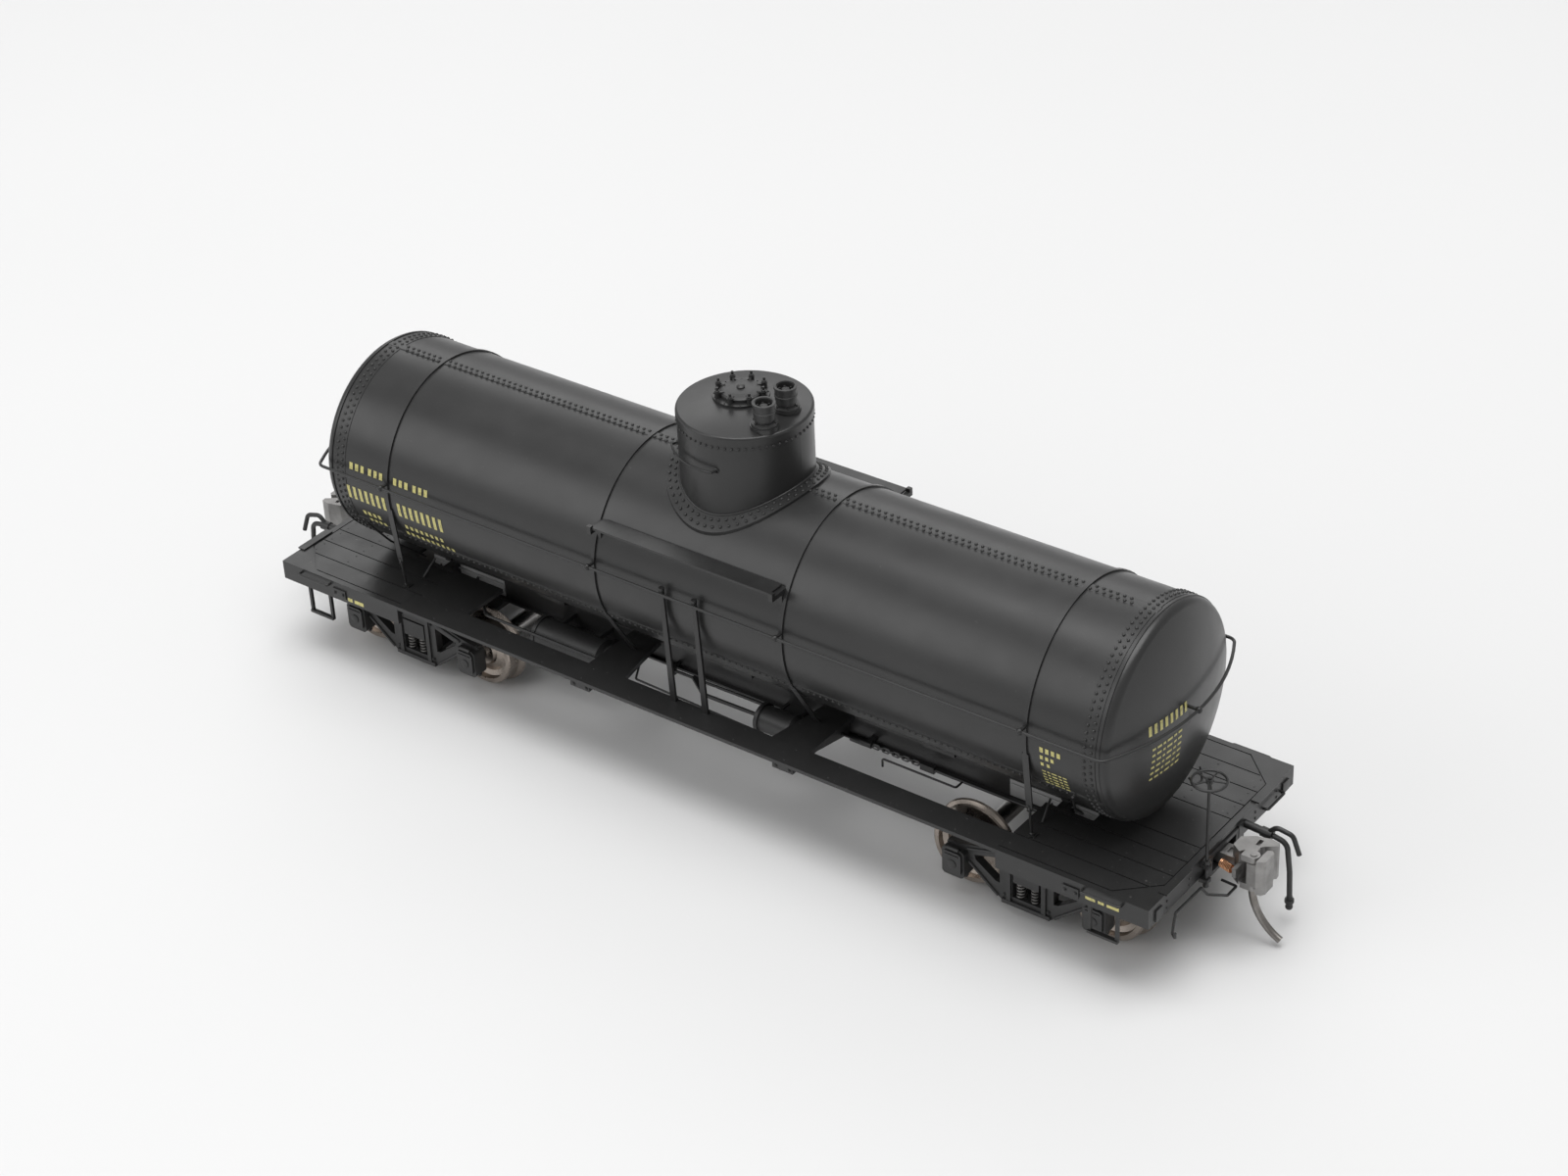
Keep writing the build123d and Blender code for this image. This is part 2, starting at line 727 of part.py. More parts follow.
rod_y = -4.6
rod_z = 10.15
sill_side = -center_sill_half - 0.02
lever_outline = make_face(
    Plane.XY * Polyline((-6.9, -4.35), (-6.9, -4.85), (-3.6, -7.1), (-3.1, -6.7), (-5.9, -4.35), close=True)
)
float_lever = extrude(Pos(0, 0, 9.6) * lever_outline, 0.4)
float_lever = float_lever + rod((-3.6, cylinder_y0, 9.85), (5.5, cylinder_y0, cylinder_z0), 0.26)
float_lever = float_lever + rod((-10.0, rod_y, 9.7), (6.9, rod_y, 9.9), 0.2)
float_lever = float_lever + block(-10.5, -9.8, -5.0, -4.2, 9.1, 10.3)
for x in (-10.3, 6.6):
    float_lever = float_lever + block(x - 0.2, x + 0.2, rod_y, sill_side, 9.7, 10.1)
rods = [
    float_lever,
    rod((16.05, rod_y, rod_z), (20.4, rod_y, rod_z), 0.2)
    + rod((17.4, rod_y, rod_z), (20.4, rod_y, rod_z), 0.42)
    + block(19.4, 20.1, rod_y + 0.2, sill_side, rod_z - 0.25, rod_z + 0.25),
    rod((29.4, rod_y, rod_z), (45.88, rod_y, rod_z), 0.2)
    + block(27.6, 29.6, rod_y - 0.3, rod_y + 0.3, rod_z - 0.45, rod_z + 0.45)
    + wire(
        ((33.6, rod_y, rod_z), (33.6, rod_y - 1.5, rod_z), (23, rod_y - 1.5, rod_z), (23, rod_y - 1.5, 9)),
        0.3,
        0.14,
    ),
]
save("brake_rods", rods)


def chain_link(index):
    """One oval link; every other one is turned on edge."""
    centre = 21.05 + 0.72 * index
    path = SlotOverall(1.12, 0.62)
    link = extrude(path - SlotOverall(0.78, 0.28), 0.1, both=True)
    turn = 45 if index % 2 == 0 else -45
    return Pos(centre, rod_y, rod_z) * (Rot(turn, 0, 0) * link)


save("brake_chain", [chain_link(i) for i in range(9)])

end_pipe = rod((half_length + 0.02, 5.0, 11.5), (69.3, 5.0, 11.3), 0.48)
end_pipe = end_pipe + rod((68.3, 5.0, 11.35), (69.7, 5.0, 11.28), 0.62)
end_pipe = end_pipe + wire(
    ((69.2, 5.0, 11.6), (70.2, 5.0, 12.6), (72.2, 5.2, 12.1), (73.0, 5.4, 9.6)), 0.9, 0.3
)
side_pipe = wire(((-12.6, -8.0, 11.7), (-10.9, -10.9, 11.7), (11.2, -11.6, 11.7)), 0.5, 0.14)
long_pipe = wire(((-43.6, -3.3, 11.0), (-36.0, -10.3, 11.8), (-17.4, -10.3, 11.8)), 1.5, 0.2)
save("train_pipe", [end_pipe, half_turn(end_pipe), side_pipe, long_pipe])

hose_x = 72.25
hose = wire(((69.75, 5.0, 11.27), (71.6, 5.0, 10.9), (72.1, 5.0, 7.0), (hose_x, 5.0, 3.2)), 1.2, 0.33)
hose = hose + cylinder_z(0.56, hose_x, 5.0, 2.75, 3.15) + cylinder_z(0.38, hose_x, 5.0, 2.2, 3.5)
hose = hose + Pos(hose_x, 5.0, 2.1) * Sphere(0.45)
save("air_hoses", [hose, half_turn(hose)])

# ---------------------------------------------------------------- couplers
box_low = coupler_z - box_height / 2
box_high = coupler_z + box_height / 2


def coupler_box():
    """Draft-gear box with an open mouth; its post is the coupler's pivot."""
    box = block(box_inner_end, box_outer_end, -box_half_width, box_half_width, box_low, box_high)
    room = block(
        box_inner_end + 0.5,
        box_outer_end + 1,
        -box_half_width + 0.5,
        box_half_width - 0.5,
        box_low + 0.5,
        box_high - 0.5,
    )
    post = cylinder_z(1.1, coupler_pivot_x, 0, box_low + 0.2, box_high - 0.2)
    return box - room + post - cylinder_z(0.72, coupler_pivot_x, 0, 8, 13)


boxes = coupler_box()
save("coupler_boxes", [boxes, half_turn(boxes)])

screw = cylinder_z(0.7, coupler_pivot_x, 0, box_low - 0.02, plate_z - 0.02)
screw = screw + cylinder_z(1.35, coupler_pivot_x, 0, box_low - 0.7, box_low - 0.02)
screw = screw - block(coupler_pivot_x - 2, coupler_pivot_x + 2, -0.18, 0.18, 8, box_low - 0.4)
save("coupler_screws", [screw, half_turn(screw)])

head_low = coupler_z - head_height / 2
head_high = coupler_z + head_height / 2


def coupler_head():
    """Shank with a pivot eye, and the fixed half of the head with its guard arm."""
    shank = block(coupler_pivot_x, 68.2, -1.05, 1.05, coupler_z - 0.75, coupler_z + 0.75)
    eye = cylinder_z(1.9, coupler_pivot_x, 0, coupler_z - 0.75, coupler_z + 0.75)
    outline = make_face(
        Plane.XY
        * Polyline(
            (67.8, -0.7),
            (69.0, -1.5),
            (69.7, -0.5),
            (70.5, 0.15),
            (71.0, 0.8),
            (71.7, 1.35),
            (72.2, 1.7),
            (72.1, 2.3),
            (71.0, 2.45),
            (69.2, 2.0),
            (67.8, 1.0),
            close=True,
        )
    )
    arm = extrude(Pos(0, 0, head_low) * outline, head_height)
    horn = block(68.85, 69.35, -2.75, -1.15, coupler_z - 0.6, coupler_z + 0.6)
    lugs = []
    for low, high in ((head_low, head_low + 0.8), (head_high - 0.8, head_high)):
        lug = block(69.45, knuckle_pivot_x, knuckle_pivot_y - 0.75, 0.4, low, high)
        lugs.append(lug + cylinder_z(0.75, knuckle_pivot_x, knuckle_pivot_y, low, high))
    pin = cylinder_z(knuckle_pin_radius, knuckle_pivot_x, knuckle_pivot_y, head_low, head_high + 0.12)
    body = shank + eye + arm + horn + lugs[0] + lugs[1] + pin
    body = body - cylinder_z(1.1 + 0.06, coupler_pivot_x, 0, 8, 13)
    body = body - block(66.9, 67.7, -0.55, 0.55, coupler_z + 0.45, coupler_z + 1)
    return body - block(69.9, 70.4, 0.6, 1.7, head_high - 0.5, head_high + 1)


fixed_head = coupler_head()
save("coupler_a", fixed_head)
save("coupler_b", half_turn(fixed_head))


def knuckle():
    """Hinged jaw of the coupler, its finger closed toward the guard arm."""
    middle = make_face(
        Plane.XY
        * Polyline(
            (knuckle_pivot_x - 0.4, knuckle_pivot_y - 0.85),
            (71.7, -2.1),
            (head_front_x, -1.6),
            (head_front_x, 0.4),
            (72.0, 0.6),
            (71.55, 0.3),
            (71.55, -0.35),
            (71.1, -0.45),
            (knuckle_pivot_x - 0.2, knuckle_pivot_y + 0.7),
            close=True,
        )
    )
    low = head_low + 0.85
    high = head_high - 0.85
    jaw = extrude(Pos(0, 0, low) * middle, high - low)
    boss = cylinder_z(0.82, knuckle_pivot_x, knuckle_pivot_y, low, high)
    face = make_face(
        Plane.XY
        * Polyline(
            (71.55, -2.15),
            (72.2, -1.95),
            (head_front_x, -1.5),
            (head_front_x, 0.3),
            (72.1, 0.6),
            (71.6, 0.3),
            (71.55, -0.6),
            close=True,
        )
    )
    jaw = jaw + extrude(Pos(0, 0, head_low) * face, head_height) + boss
    return jaw - cylinder_z(knuckle_pin_radius + 0.04, knuckle_pivot_x, knuckle_pivot_y, 5, 15)


jaw = knuckle()
save("knuckle_a", jaw)
save("knuckle_b", half_turn(jaw))


def coil(start, end, radius, wire_radius, turns):
    """A closely wound spring drawn as a ribbed sleeve along its axis."""
    axis = Vector(*end) - Vector(*start)
    pitch = axis.length / turns
    profile = [(0, 0), (radius - wire_radius, 0)]
    for turn in range(turns):
        profile.append((radius, pitch * (turn + 0.5)))
        profile.append((radius - wire_radius, pitch * (turn + 1)))
    profile.append((0, axis.length))
    return turned(profile, Plane(origin=start, z_dir=axis))


spring = coil((66.9, -1.75, 10.6), (68.6, -2.25, 10.6), 0.56, 0.14, 9)
save("knuckle_spring_a", spring)
save("knuckle_spring_b", half_turn(spring))

trip_x = 69.9
trip_y = 0.3
trip_path = Wire(
    [
        Line((trip_x, trip_y, head_low - 0.02), (trip_x, trip_y, 6.7)),
        ThreePointArc((trip_x, trip_y, 6.7), (70.75, trip_y, 3.8), (73.82, trip_y, 0.95)),
    ]
)
trip_start = Plane(origin=(trip_x, trip_y, head_low - 0.02), z_dir=(0, 0, -1))
trip_pin = sweep(trip_start * Circle(0.46), path=trip_path)
save("trip_pin_a", trip_pin)
save("trip_pin_b", half_turn(trip_pin))

# ---------------------------------------------------------------- trucks
axle_x = wheelbase / 2


def side_frame(side):
    """Cast truck side frame with separate journal boxes, near or far side."""
    outline = make_face(
        Plane.XZ
        * Polyline(
            (-axle_x - 1.3, 7.6),
            (-axle_x + 1.2, 7.9),
            (-3.4, 9.2),
            (3.4, 9.2),
            (axle_x - 1.2, 7.9),
            (axle_x + 1.3, 7.6),
            (axle_x + 1.3, 6.6),
            (axle_x - 1.5, 5.4),
            (3.3, 1.9),
            (-3.3, 1.9),
            (-axle_x + 1.5, 5.4),
            (-axle_x - 1.3, 6.6),
            close=True,
        )
    )
    slab = extrude(outline, frame_thickness, dir=(0, -1, 0))
    slab = Pos(0, -frame_inner_y, 0) * slab
    for way in (-1, 1):
        triangle = make_face(
            Plane.XZ
            * Polyline(
                (way * (axle_x - 2.4), 6.9),
                (way * 3.7, 7.9),
                (way * 3.7, 4.3),
                (way * 4.3, 4.4),
                (way * (axle_x - 2.6), 6.3),
                close=True,
            )
        )
        slab = slab - Pos(0, -frame_inner_y + 1, 0) * extrude(triangle, 4, dir=(0, -1, 0))
    window = block(-1.95, 1.95, -14, -10, 3.0, 7.7)
    slab = slab - window
    rib = block(-3.3, 3.3, -frame_inner_y - frame_thickness - 0.3, -frame_inner_y, 1.9, 2.45)
    rail = block(-3.3, 3.3, -frame_inner_y - frame_thickness - 0.3, -frame_inner_y, 8.75, 9.2)
    slab = slab + rib + rail
    for way in (-1, 1):
        cx = way * axle_x
        box = block(cx - 1.55, cx + 1.55, -13.0, -frame_inner_y, 3.4, 7.3)
        upright = [e for e in box.edges().filter_by(Axis.Y)]
        box = fillet(upright, 0.55)
        lid = block(cx - 1.25, cx + 1.25, -13.3, -12.9, 3.9, 7.0)
        lid = fillet(lid.edges().filter_by(Axis.Y), 0.45)
        hinge = cylinder_x(0.28, cx - 0.8, cx + 0.8, 7.25)
        slab = slab + box + lid + Pos(0, -12.9, 0) * hinge
        bearing = cylinder_y(journal_radius + bearing_clearance, cx, -12.4, -10.0, axle_z)
        slab = slab - bearing
        column = block(way * 2.1, way * 2.7, -frame_inner_y - frame_thickness - 0.25, -11.5, 2.4, 8.8)
        slab = slab + column
    return slab if side < 0 else half_turn(slab)


def truck_bolster():
    """Cross beam that rests on the springs and carries the wagon on its centre plate."""
    beam = block(-1.75, 1.75, -12.25, 12.25, 5.3, 7.6)
    centre = block(-2.0, 2.0, -5.6, 5.6, 5.0, 7.8)
    plate = cylinder_z(2.0, 0, 0, 7.0, bolster_top)
    plank = block(-2.0, 2.0, -frame_inner_y + 0.02, frame_inner_y - 0.02, 2.4, 2.95)
    plank = plank - cylinder_z(1.5, 0, 0, 2, 3.2)
    beam = beam + centre + plate
    hole = cylinder_z(kingpin_radius + kingpin_clearance, 0, 0, 2, 9)
    recess = cylinder_z(2.1, 0, 0, 2, 5.9)
    return [beam - hole - recess, plank]


def truck_springs():
    """Two coil springs under each end of the bolster."""
    springs = []
    for y in (-11.6, 11.6):
        for x in (-1.0, 1.0):
            springs.append(coil((x, y, 3.02), (x, y, 5.28), 0.62, 0.16, 6))
    return springs


def truck_screw(x):
    """Shouldered screw that the truck turns on, driven up into the body bolster."""
    screw = cylinder_z(kingpin_radius, x, 0, 5.85, 11.3)
    cap = cylinder_z(1.85, x, 0, 4.9, 5.86)
    return screw + cap - block(x - 0.25, x + 0.25, -3, 3, 4.5, 5.3)


for name, centre in (("a", truck_centre), ("b", -truck_centre)):
    place = Pos(centre, 0, 0)
    save(f"side_frames_{name}", [place * side_frame(-1), place * side_frame(1)])
    save(f"truck_bolster_{name}", [place * piece for piece in truck_bolster()])
    save(f"truck_springs_{name}", [place * piece for piece in truck_springs()])
save("truck_screws", [truck_screw(truck_centre), truck_screw(-truck_centre)])


def wheel():
    """Flanged wheel on the near side: tread, flange, dished plate and hub."""
    back = wheel_back
    front = wheel_back + wheel_width
    return turned(
        (
            (axle_radius + 0.02, back + 0.35),
            (1.9, back + 0.35),
            (2.2, back + 0.95),
            (3.6, back + 0.75),
            (3.9, back),
            (flange_radius - 0.28, back),
            (flange_radius, back + 0.3),
            (flange_radius - 0.12, back + flange_width - 0.15),
            (tread_radius + 0.12, back + flange_width + 0.1),
            (tread_radius, back + flange_width + 0.35),
            (tread_radius - 0.03, front - 0.15),
            (tread_radius - 0.2, front),
            (tread_radius - 0.75, front),
            (tread_radius - 0.85, front - 0.7),
            (3.3, front - 0.95),
            (2.2, front - 0.55),
            (1.9, front - 0.1),
            (axle_radius + 0.02, front - 0.1),
        ),
        Plane(origin=(0, 0, axle_z), z_dir=(0, -1, 0), x_dir=(1, 0, 0)),
    )


def axle():
    """Axle with a journal at each end that runs in the side frames."""
    half = [
        (0, journal_end),
        (journal_radius - 0.2, journal_end),
        (journal_radius, journal_end - 0.25),
        (journal_radius, 10.35),
        (axle_radius, 10.25),
    ]
    lower = [(radius, -height) for radius, height in reversed(half)]
    return turned(half + lower, Plane(origin=(0, 0, axle_z), z_dir=(0, -1, 0), x_dir=(1, 0, 0)))


near_wheel = wheel()
pair = [near_wheel, half_turn(near_wheel)]
shaft = axle()
stations = (
    truck_centre + axle_x,
    truck_centre - axle_x,
    -truck_centre + axle_x,
    -truck_centre - axle_x,
)
for number, x in enumerate(stations, start=1):
    save(f"wheels_{number}", [Pos(x, 0, 0) * piece for piece in pair])
    save(f"axle_{number}", Pos(x, 0, 0) * shaft)
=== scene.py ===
import json
import math

import bmesh
import bpy
from mathutils import Matrix, Vector


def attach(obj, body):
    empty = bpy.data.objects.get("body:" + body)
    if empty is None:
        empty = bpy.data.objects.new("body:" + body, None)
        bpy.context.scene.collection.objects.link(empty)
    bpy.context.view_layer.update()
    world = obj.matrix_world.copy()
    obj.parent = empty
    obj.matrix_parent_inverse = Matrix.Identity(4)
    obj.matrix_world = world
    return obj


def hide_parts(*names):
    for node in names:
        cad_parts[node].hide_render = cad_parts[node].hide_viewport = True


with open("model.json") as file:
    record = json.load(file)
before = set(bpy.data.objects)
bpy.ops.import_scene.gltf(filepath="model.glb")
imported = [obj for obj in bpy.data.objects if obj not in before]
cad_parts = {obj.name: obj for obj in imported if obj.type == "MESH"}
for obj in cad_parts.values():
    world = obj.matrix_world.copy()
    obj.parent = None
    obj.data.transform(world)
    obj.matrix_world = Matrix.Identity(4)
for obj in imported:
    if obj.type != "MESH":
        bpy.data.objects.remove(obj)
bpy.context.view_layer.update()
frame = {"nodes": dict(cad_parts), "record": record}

# Looks for the HO scale model tank wagon. Sizes below are millimetres in the wagon's own frame:
# +X along the wagon toward the hand brake, +Y to its left side, +Z up, origin under the middle.
# Every mesh is built in millimetres and scaled to metres when it becomes an object.

MM = 0.001

# tank and dome
TANK_RADIUS = 13.3
TANK_AXIS_Z = 27.25
SHELL_HALF = 57.4
HEAD_BULGE = 3.7
DISH_HALF = 12.2
DISH_DEPTH = 2.4
DOME_RADIUS = 8.15
DOME_CROWN_Z = 49.75
FLANGE_SURFACE = TANK_RADIUS + 0.32
BAND_X = (14.15, 48.0)
STRAP_ROD_TOP = 16.75
STRAP_ROD_Y = 12.37
STRAP_FOOT_Y = 11.9
MANWAY = (-0.9, 0.6)
VALVES = ((5.5, -3.3), (5.3, 1.2))

# frame
DECK_TOP = 12.8
HALF_LENGTH = 66.1
HALF_WIDTH = 16.25

# trucks, wheels, couplers
TRUCK_CENTRE = 47.4
AXLE_OFFSET = 9.625
AXLE_Z = 5.45
COUPLER_Z = 10.55

nodes = frame["nodes"]


# ---------------------------------------------------------------- mesh helpers
def piece(name, bm, body, material, sharp=35, replaces=()):
    """Turns a mesh in millimetres into an object in metres that rides on a CAD body."""
    bmesh.ops.recalc_face_normals(bm, faces=bm.faces)
    bmesh.ops.scale(bm, vec=(MM, MM, MM), verts=bm.verts)
    mesh = bpy.data.meshes.new(name)
    bm.to_mesh(mesh)
    bm.free()
    mesh.shade_smooth()
    mesh.set_sharp_from_angle(angle=math.radians(sharp))
    mesh.materials.append(material)
    obj = bpy.data.objects.new(name, mesh)
    bpy.context.scene.collection.objects.link(obj)
    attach(obj, body)
    if replaces:
        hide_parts(*replaces)
    return obj


def frame_at(place, normal, across=(1, 0, 0)):
    """A matrix at a place whose Z is the surface normal and whose X lies near the given direction."""
    z = Vector(normal).normalized()
    x = Vector(across) - z * z.dot(Vector(across))
    if x.length < 1e-6:
        x = z.orthogonal()
    x.normalize()
    y = z.cross(x)
    matrix = Matrix((x, y, z)).transposed().to_4x4()
    matrix.translation = Vector(place)
    return matrix


def add_turned(bm, profile, matrix, segments=24):
    """A surface of revolution: (radius, height) pairs about the matrix's Z."""
    rings = []
    for radius, height in profile:
        if radius < 1e-6:
            rings.append([bm.verts.new(matrix @ Vector((0, 0, height)))])
            continue
        ring = []
        for i in range(segments):
            a = 2 * math.pi * i / segments
            ring.append(bm.verts.new(matrix @ Vector((radius * math.cos(a), radius * math.sin(a), height))))
        rings.append(ring)
    for low, high in zip(rings, rings[1:]):
        for i in range(segments):
            j = (i + 1) % segments
            corners = [low[i % len(low)], low[j % len(low)], high[j % len(high)], high[i % len(high)]]
            distinct = list(dict.fromkeys(corners))
            if len(distinct) > 2:
                bm.faces.new(distinct)


def add_rivet(bm, place, normal, radius=0.17, height=0.13):
    """A round rivet head sunk a little into the surface it stands on."""
    profile = ((radius, -0.06), (radius, 0.02), (radius * 0.8, height * 0.72), (0, height))
    add_turned(bm, profile, frame_at(place, normal), 8)


def add_bolt(bm, place, normal, width=0.5, height=0.3, across=(1, 0, 0)):
    """A hexagon nut on a washer with the end of its stud showing."""
    matrix = frame_at(place, normal, across)
    radius = width / 2
    add_turned(bm, ((radius * 1.35, -0.05), (radius * 1.35, 0.07), (radius, 0.07)), matrix, 16)
    nut = ((radius, 0.05), (radius, height * 0.85), (radius * 0.82, height), (0, height))
    add_turned(bm, nut, matrix, 6)
    stud = radius * 0.45
    tip = height * 1.5
    add_turned(bm, ((stud, height * 0.9), (stud, height * 1.35), (stud * 0.6, tip), (0, tip)), matrix, 10)


def add_box(bm, low, high, bevel=0.04):
    """A block between two corners with softened edges."""
    low, high = Vector(low), Vector(high)
    middle, size = (low + high) / 2, high - low
    matrix = Matrix.Translation(middle) @ Matrix.Diagonal((*size, 1))
    made = bmesh.ops.create_cube(bm, size=1, matrix=matrix)
    edges = list({e for v in made["verts"] for e in v.link_edges})
    if bevel:
        bmesh.ops.bevel(bm, geom=edges, offset=bevel, segments=2, affect="EDGES", profile=0.7)


def add_tube(bm, points, radius, sides=10, capped=True):
    """A round wire through a list of points."""
    points = [Vector(p) for p in points]
    tangents = []
    for i in range(len(points)):
        before = points[max(i - 1, 0)]
        after = points[min(i + 1, len(points) - 1)]
        tangents.append((after - before).normalized())
    side = tangents[0].orthogonal().normalized()
    rings = []
    for point, tangent in zip(points, tangents):
        side = (side - tangent * side.dot(tangent)).normalized()
        other = tangent.cross(side)
        ring = []
        for k in range(sides):
            a = 2 * math.pi * k / sides
            ring.append(bm.verts.new(point + radius * (math.cos(a) * side + math.sin(a) * other)))
        rings.append(ring)
    for low, high in zip(rings, rings[1:]):
        for k in range(sides):
            j = (k + 1) % sides
            bm.faces.new((low[k], low[j], high[j], high[k]))
    if capped:
        bm.faces.new(rings[0])
        bm.faces.new(rings[-1])


def rounded_path(corners, radius, steps=6):
    """Points along straight runs, with each corner turned through a small curve."""
    corners = [Vector(c) for c in corners]
    path = [corners[0]]
    for before, corner, after in zip(corners, corners[1:], corners[2:]):
        start = corner + (before - corner).normalized() * radius
        end = corner + (after - corner).normalized() * radius
        for i in range(steps + 1):
            t = i / steps
            path.append((1 - t) ** 2 * start + 2 * t * (1 - t) * corner + t * t * end)
    path.append(corners[-1])
    return path


def coil_points(start, end, radius, turns, steps=14):
    """Points along a helix from start to end."""
    start, end = Vector(start), Vector(end)
    matrix = frame_at(start, end - start)
    length = (end - start).length
    count = turns * steps
    return [
        matrix
        @ Vector(
            (
                radius * math.cos(2 * math.pi * i / steps),
                radius * math.sin(2 * math.pi * i / steps),
                length * i / count,
            )
        )
        for i in range(count + 1)
    ]


def on_tank(x, degrees, radius=TANK_RADIUS):
    """A point on the tank and its normal; the angle runs from the crown down the near side."""
    a = math.radians(degrees)
    normal = Vector((0, -math.sin(a), math.cos(a)))
    return Vector((x, 0, TANK_AXIS_Z)) + normal * radius, normal


def both_ends(bm):
    """Adds the same geometry turned half round to the other end of the wagon."""
    copy = bmesh.ops.duplicate(bm, geom=bm.verts[:] + bm.edges[:] + bm.faces[:])
    verts = [g for g in copy["geom"] if isinstance(g, bmesh.types.BMVert)]
    bmesh.ops.rotate(bm, verts=verts, cent=(0, 0, 0), matrix=Matrix.Rotation(math.pi, 3, "Z"))


# ---------------------------------------------------------------- materials
class Shader:
    """A material being built, with short calls for the nodes that the surfaces here need."""

    def __init__(self, name):
        self.material = bpy.data.materials.new(name)
        self.material.use_nodes = True
        self.tree = self.material.node_tree
        self.surface = self.tree.nodes["Principled BSDF"]
        self.place = self.node("ShaderNodeTexCoord").outputs["Object"]

    def node(self, kind, **settings):
        made = self.tree.nodes.new(kind)
        for key, value in settings.items():
            setattr(made, key, value)
        return made

    def link(self, source, target):
        self.tree.links.new(source, target)

    def noise(self, scale, detail=3.0, roughness=0.55, vector=None, stretch=None):
        vector = vector or self.place
        if stretch:
            mapping = self.node("ShaderNodeMapping")
            mapping.inputs["Scale"].default_value = stretch
            self.link(vector, mapping.inputs["Vector"])
            vector = mapping.outputs["Vector"]
        noise = self.node("ShaderNodeTexNoise")
        noise.inputs["Scale"].default_value = scale
        noise.inputs["Detail"].default_value = detail
        noise.inputs["Roughness"].default_value = roughness
        self.link(vector, noise.inputs["Vector"])
        return noise.outputs["Fac"]

    def ramp(self, value, low, high, at_low, at_high):
        ramp = self.node("ShaderNodeValToRGB")
        ramp.color_ramp.elements[0].position = low
        ramp.color_ramp.elements[1].position = high
        ramp.color_ramp.elements[0].color = at_low
        ramp.color_ramp.elements[1].color = at_high
        self.link(value, ramp.inputs["Fac"])
        return ramp.outputs["Color"]

    def between(self, value, low, high, from_low=0.3, from_high=0.7):
        scale = self.node("ShaderNodeMapRange")
        scale.inputs["From Min"].default_value = from_low
        scale.inputs["From Max"].default_value = from_high
        scale.inputs["To Min"].default_value = low
        scale.inputs["To Max"].default_value = high
        self.link(value, scale.inputs["Value"])
        return scale.outputs["Result"]

    def mix(self, factor, first, second):
        mix = self.node("ShaderNodeMix", data_type="RGBA")
        self.link(factor, mix.inputs["Factor"])
        for value, socket in ((first, mix.inputs["A"]), (second, mix.inputs["B"])):
            if isinstance(value, tuple):
                socket.default_value = value
            else:
                self.link(value, socket)
        return mix.outputs["Result"]

    def bump(self, height, strength, distance):
        bump = self.node("ShaderNodeBump")
        bump.inputs["Strength"].default_value = strength
        bump.inputs["Distance"].default_value = distance
        self.link(height, bump.inputs["Height"])
        self.link(bump.outputs["Normal"], self.surface.inputs["Normal"])

    def colour(self, value):
        self.link(value, self.surface.inputs["Base Color"])

    def rough(self, value):
        self.link(value, self.surface.inputs["Roughness"])


def grey(value, warm=0.0):
    """A grey with a little warmth, as a colour."""
    return (value * (1 + warm), value, value * (1 - warm), 1)


def paint(name, shade, gloss=(0.34, 0.46), dust=0.3, grain=0.000012):
    """Sprayed black paint: cloudy shade, fine grain, and a few motes of dust on faces that look up."""
    s = Shader(name)
    clouds = s.noise(55, 4)
    base = s.ramp(clouds, 0.3, 0.7, grey(shade * 0.88), grey(shade * 1.14))
    motes = s.noise(1500, 2, 0.7)
    up = s.node("ShaderNodeSeparateXYZ")
    s.link(s.node("ShaderNodeNewGeometry").outputs["Normal"], up.inputs["Vector"])
    lying = s.node("ShaderNodeMath", operation="MULTIPLY", use_clamp=True)
    s.link(s.between(motes, 0, dust, 0.70, 0.80), lying.inputs[0])
    s.link(s.between(up.outputs["Z"], 0.15, 1, 0, 1), lying.inputs[1])
    s.colour(s.mix(lying.outputs["Value"], base, grey(0.22, 0.03)))
    s.rough(s.between(s.noise(240, 4), *gloss))
    s.surface.inputs["Specular IOR Level"].default_value = 0.5
    s.bump(s.noise(4200, 2), 0.35, grain)
    return s.material


def bare_metal(name, light, dark, gloss=(0.22, 0.38), grain=0.00001, scale=900, stretch=None):
    """Bare metal with tarnish in patches and fine marks from its making."""
    s = Shader(name)
    tarnish = s.noise(320, 5, 0.6)
    s.colour(s.ramp(tarnish, 0.32, 0.68, dark, light))
    s.surface.inputs["Metallic"].default_value = 1.0
    s.rough(s.between(s.noise(scale, 4, stretch=stretch), *gloss))
    s.bump(s.noise(scale * 2, 3, stretch=stretch), 0.4, grain)
    return s.material


def turned_metal(name, x):
    """Wheel metal turned on a lathe: fine rings about the axle at the given place along the wagon."""
    s = Shader(name)
    shift = s.node("ShaderNodeMapping")
    shift.inputs["Location"].default_value = (-x * MM, 0, -AXLE_Z * MM)
    s.link(s.place, shift.inputs["Vector"])
    rings = s.node("ShaderNodeTexWave", wave_type="RINGS", rings_direction="Y")
    rings.inputs["Scale"].default_value = 1400
    rings.inputs["Distortion"].default_value = 0.05
    s.link(shift.outputs["Vector"], rings.inputs["Vector"])
    s.colour(s.ramp(s.noise(200, 4, 0.6), 0.3, 0.7, (0.33, 0.29, 0.255, 1), (0.4, 0.35, 0.31, 1)))
    s.surface.inputs["Metallic"].default_value = 1.0
    s.rough(s.between(s.noise(700, 4), 0.24, 0.34))
    s.bump(rings.outputs["Fac"], 0.2, 0.000003)
    return s.material


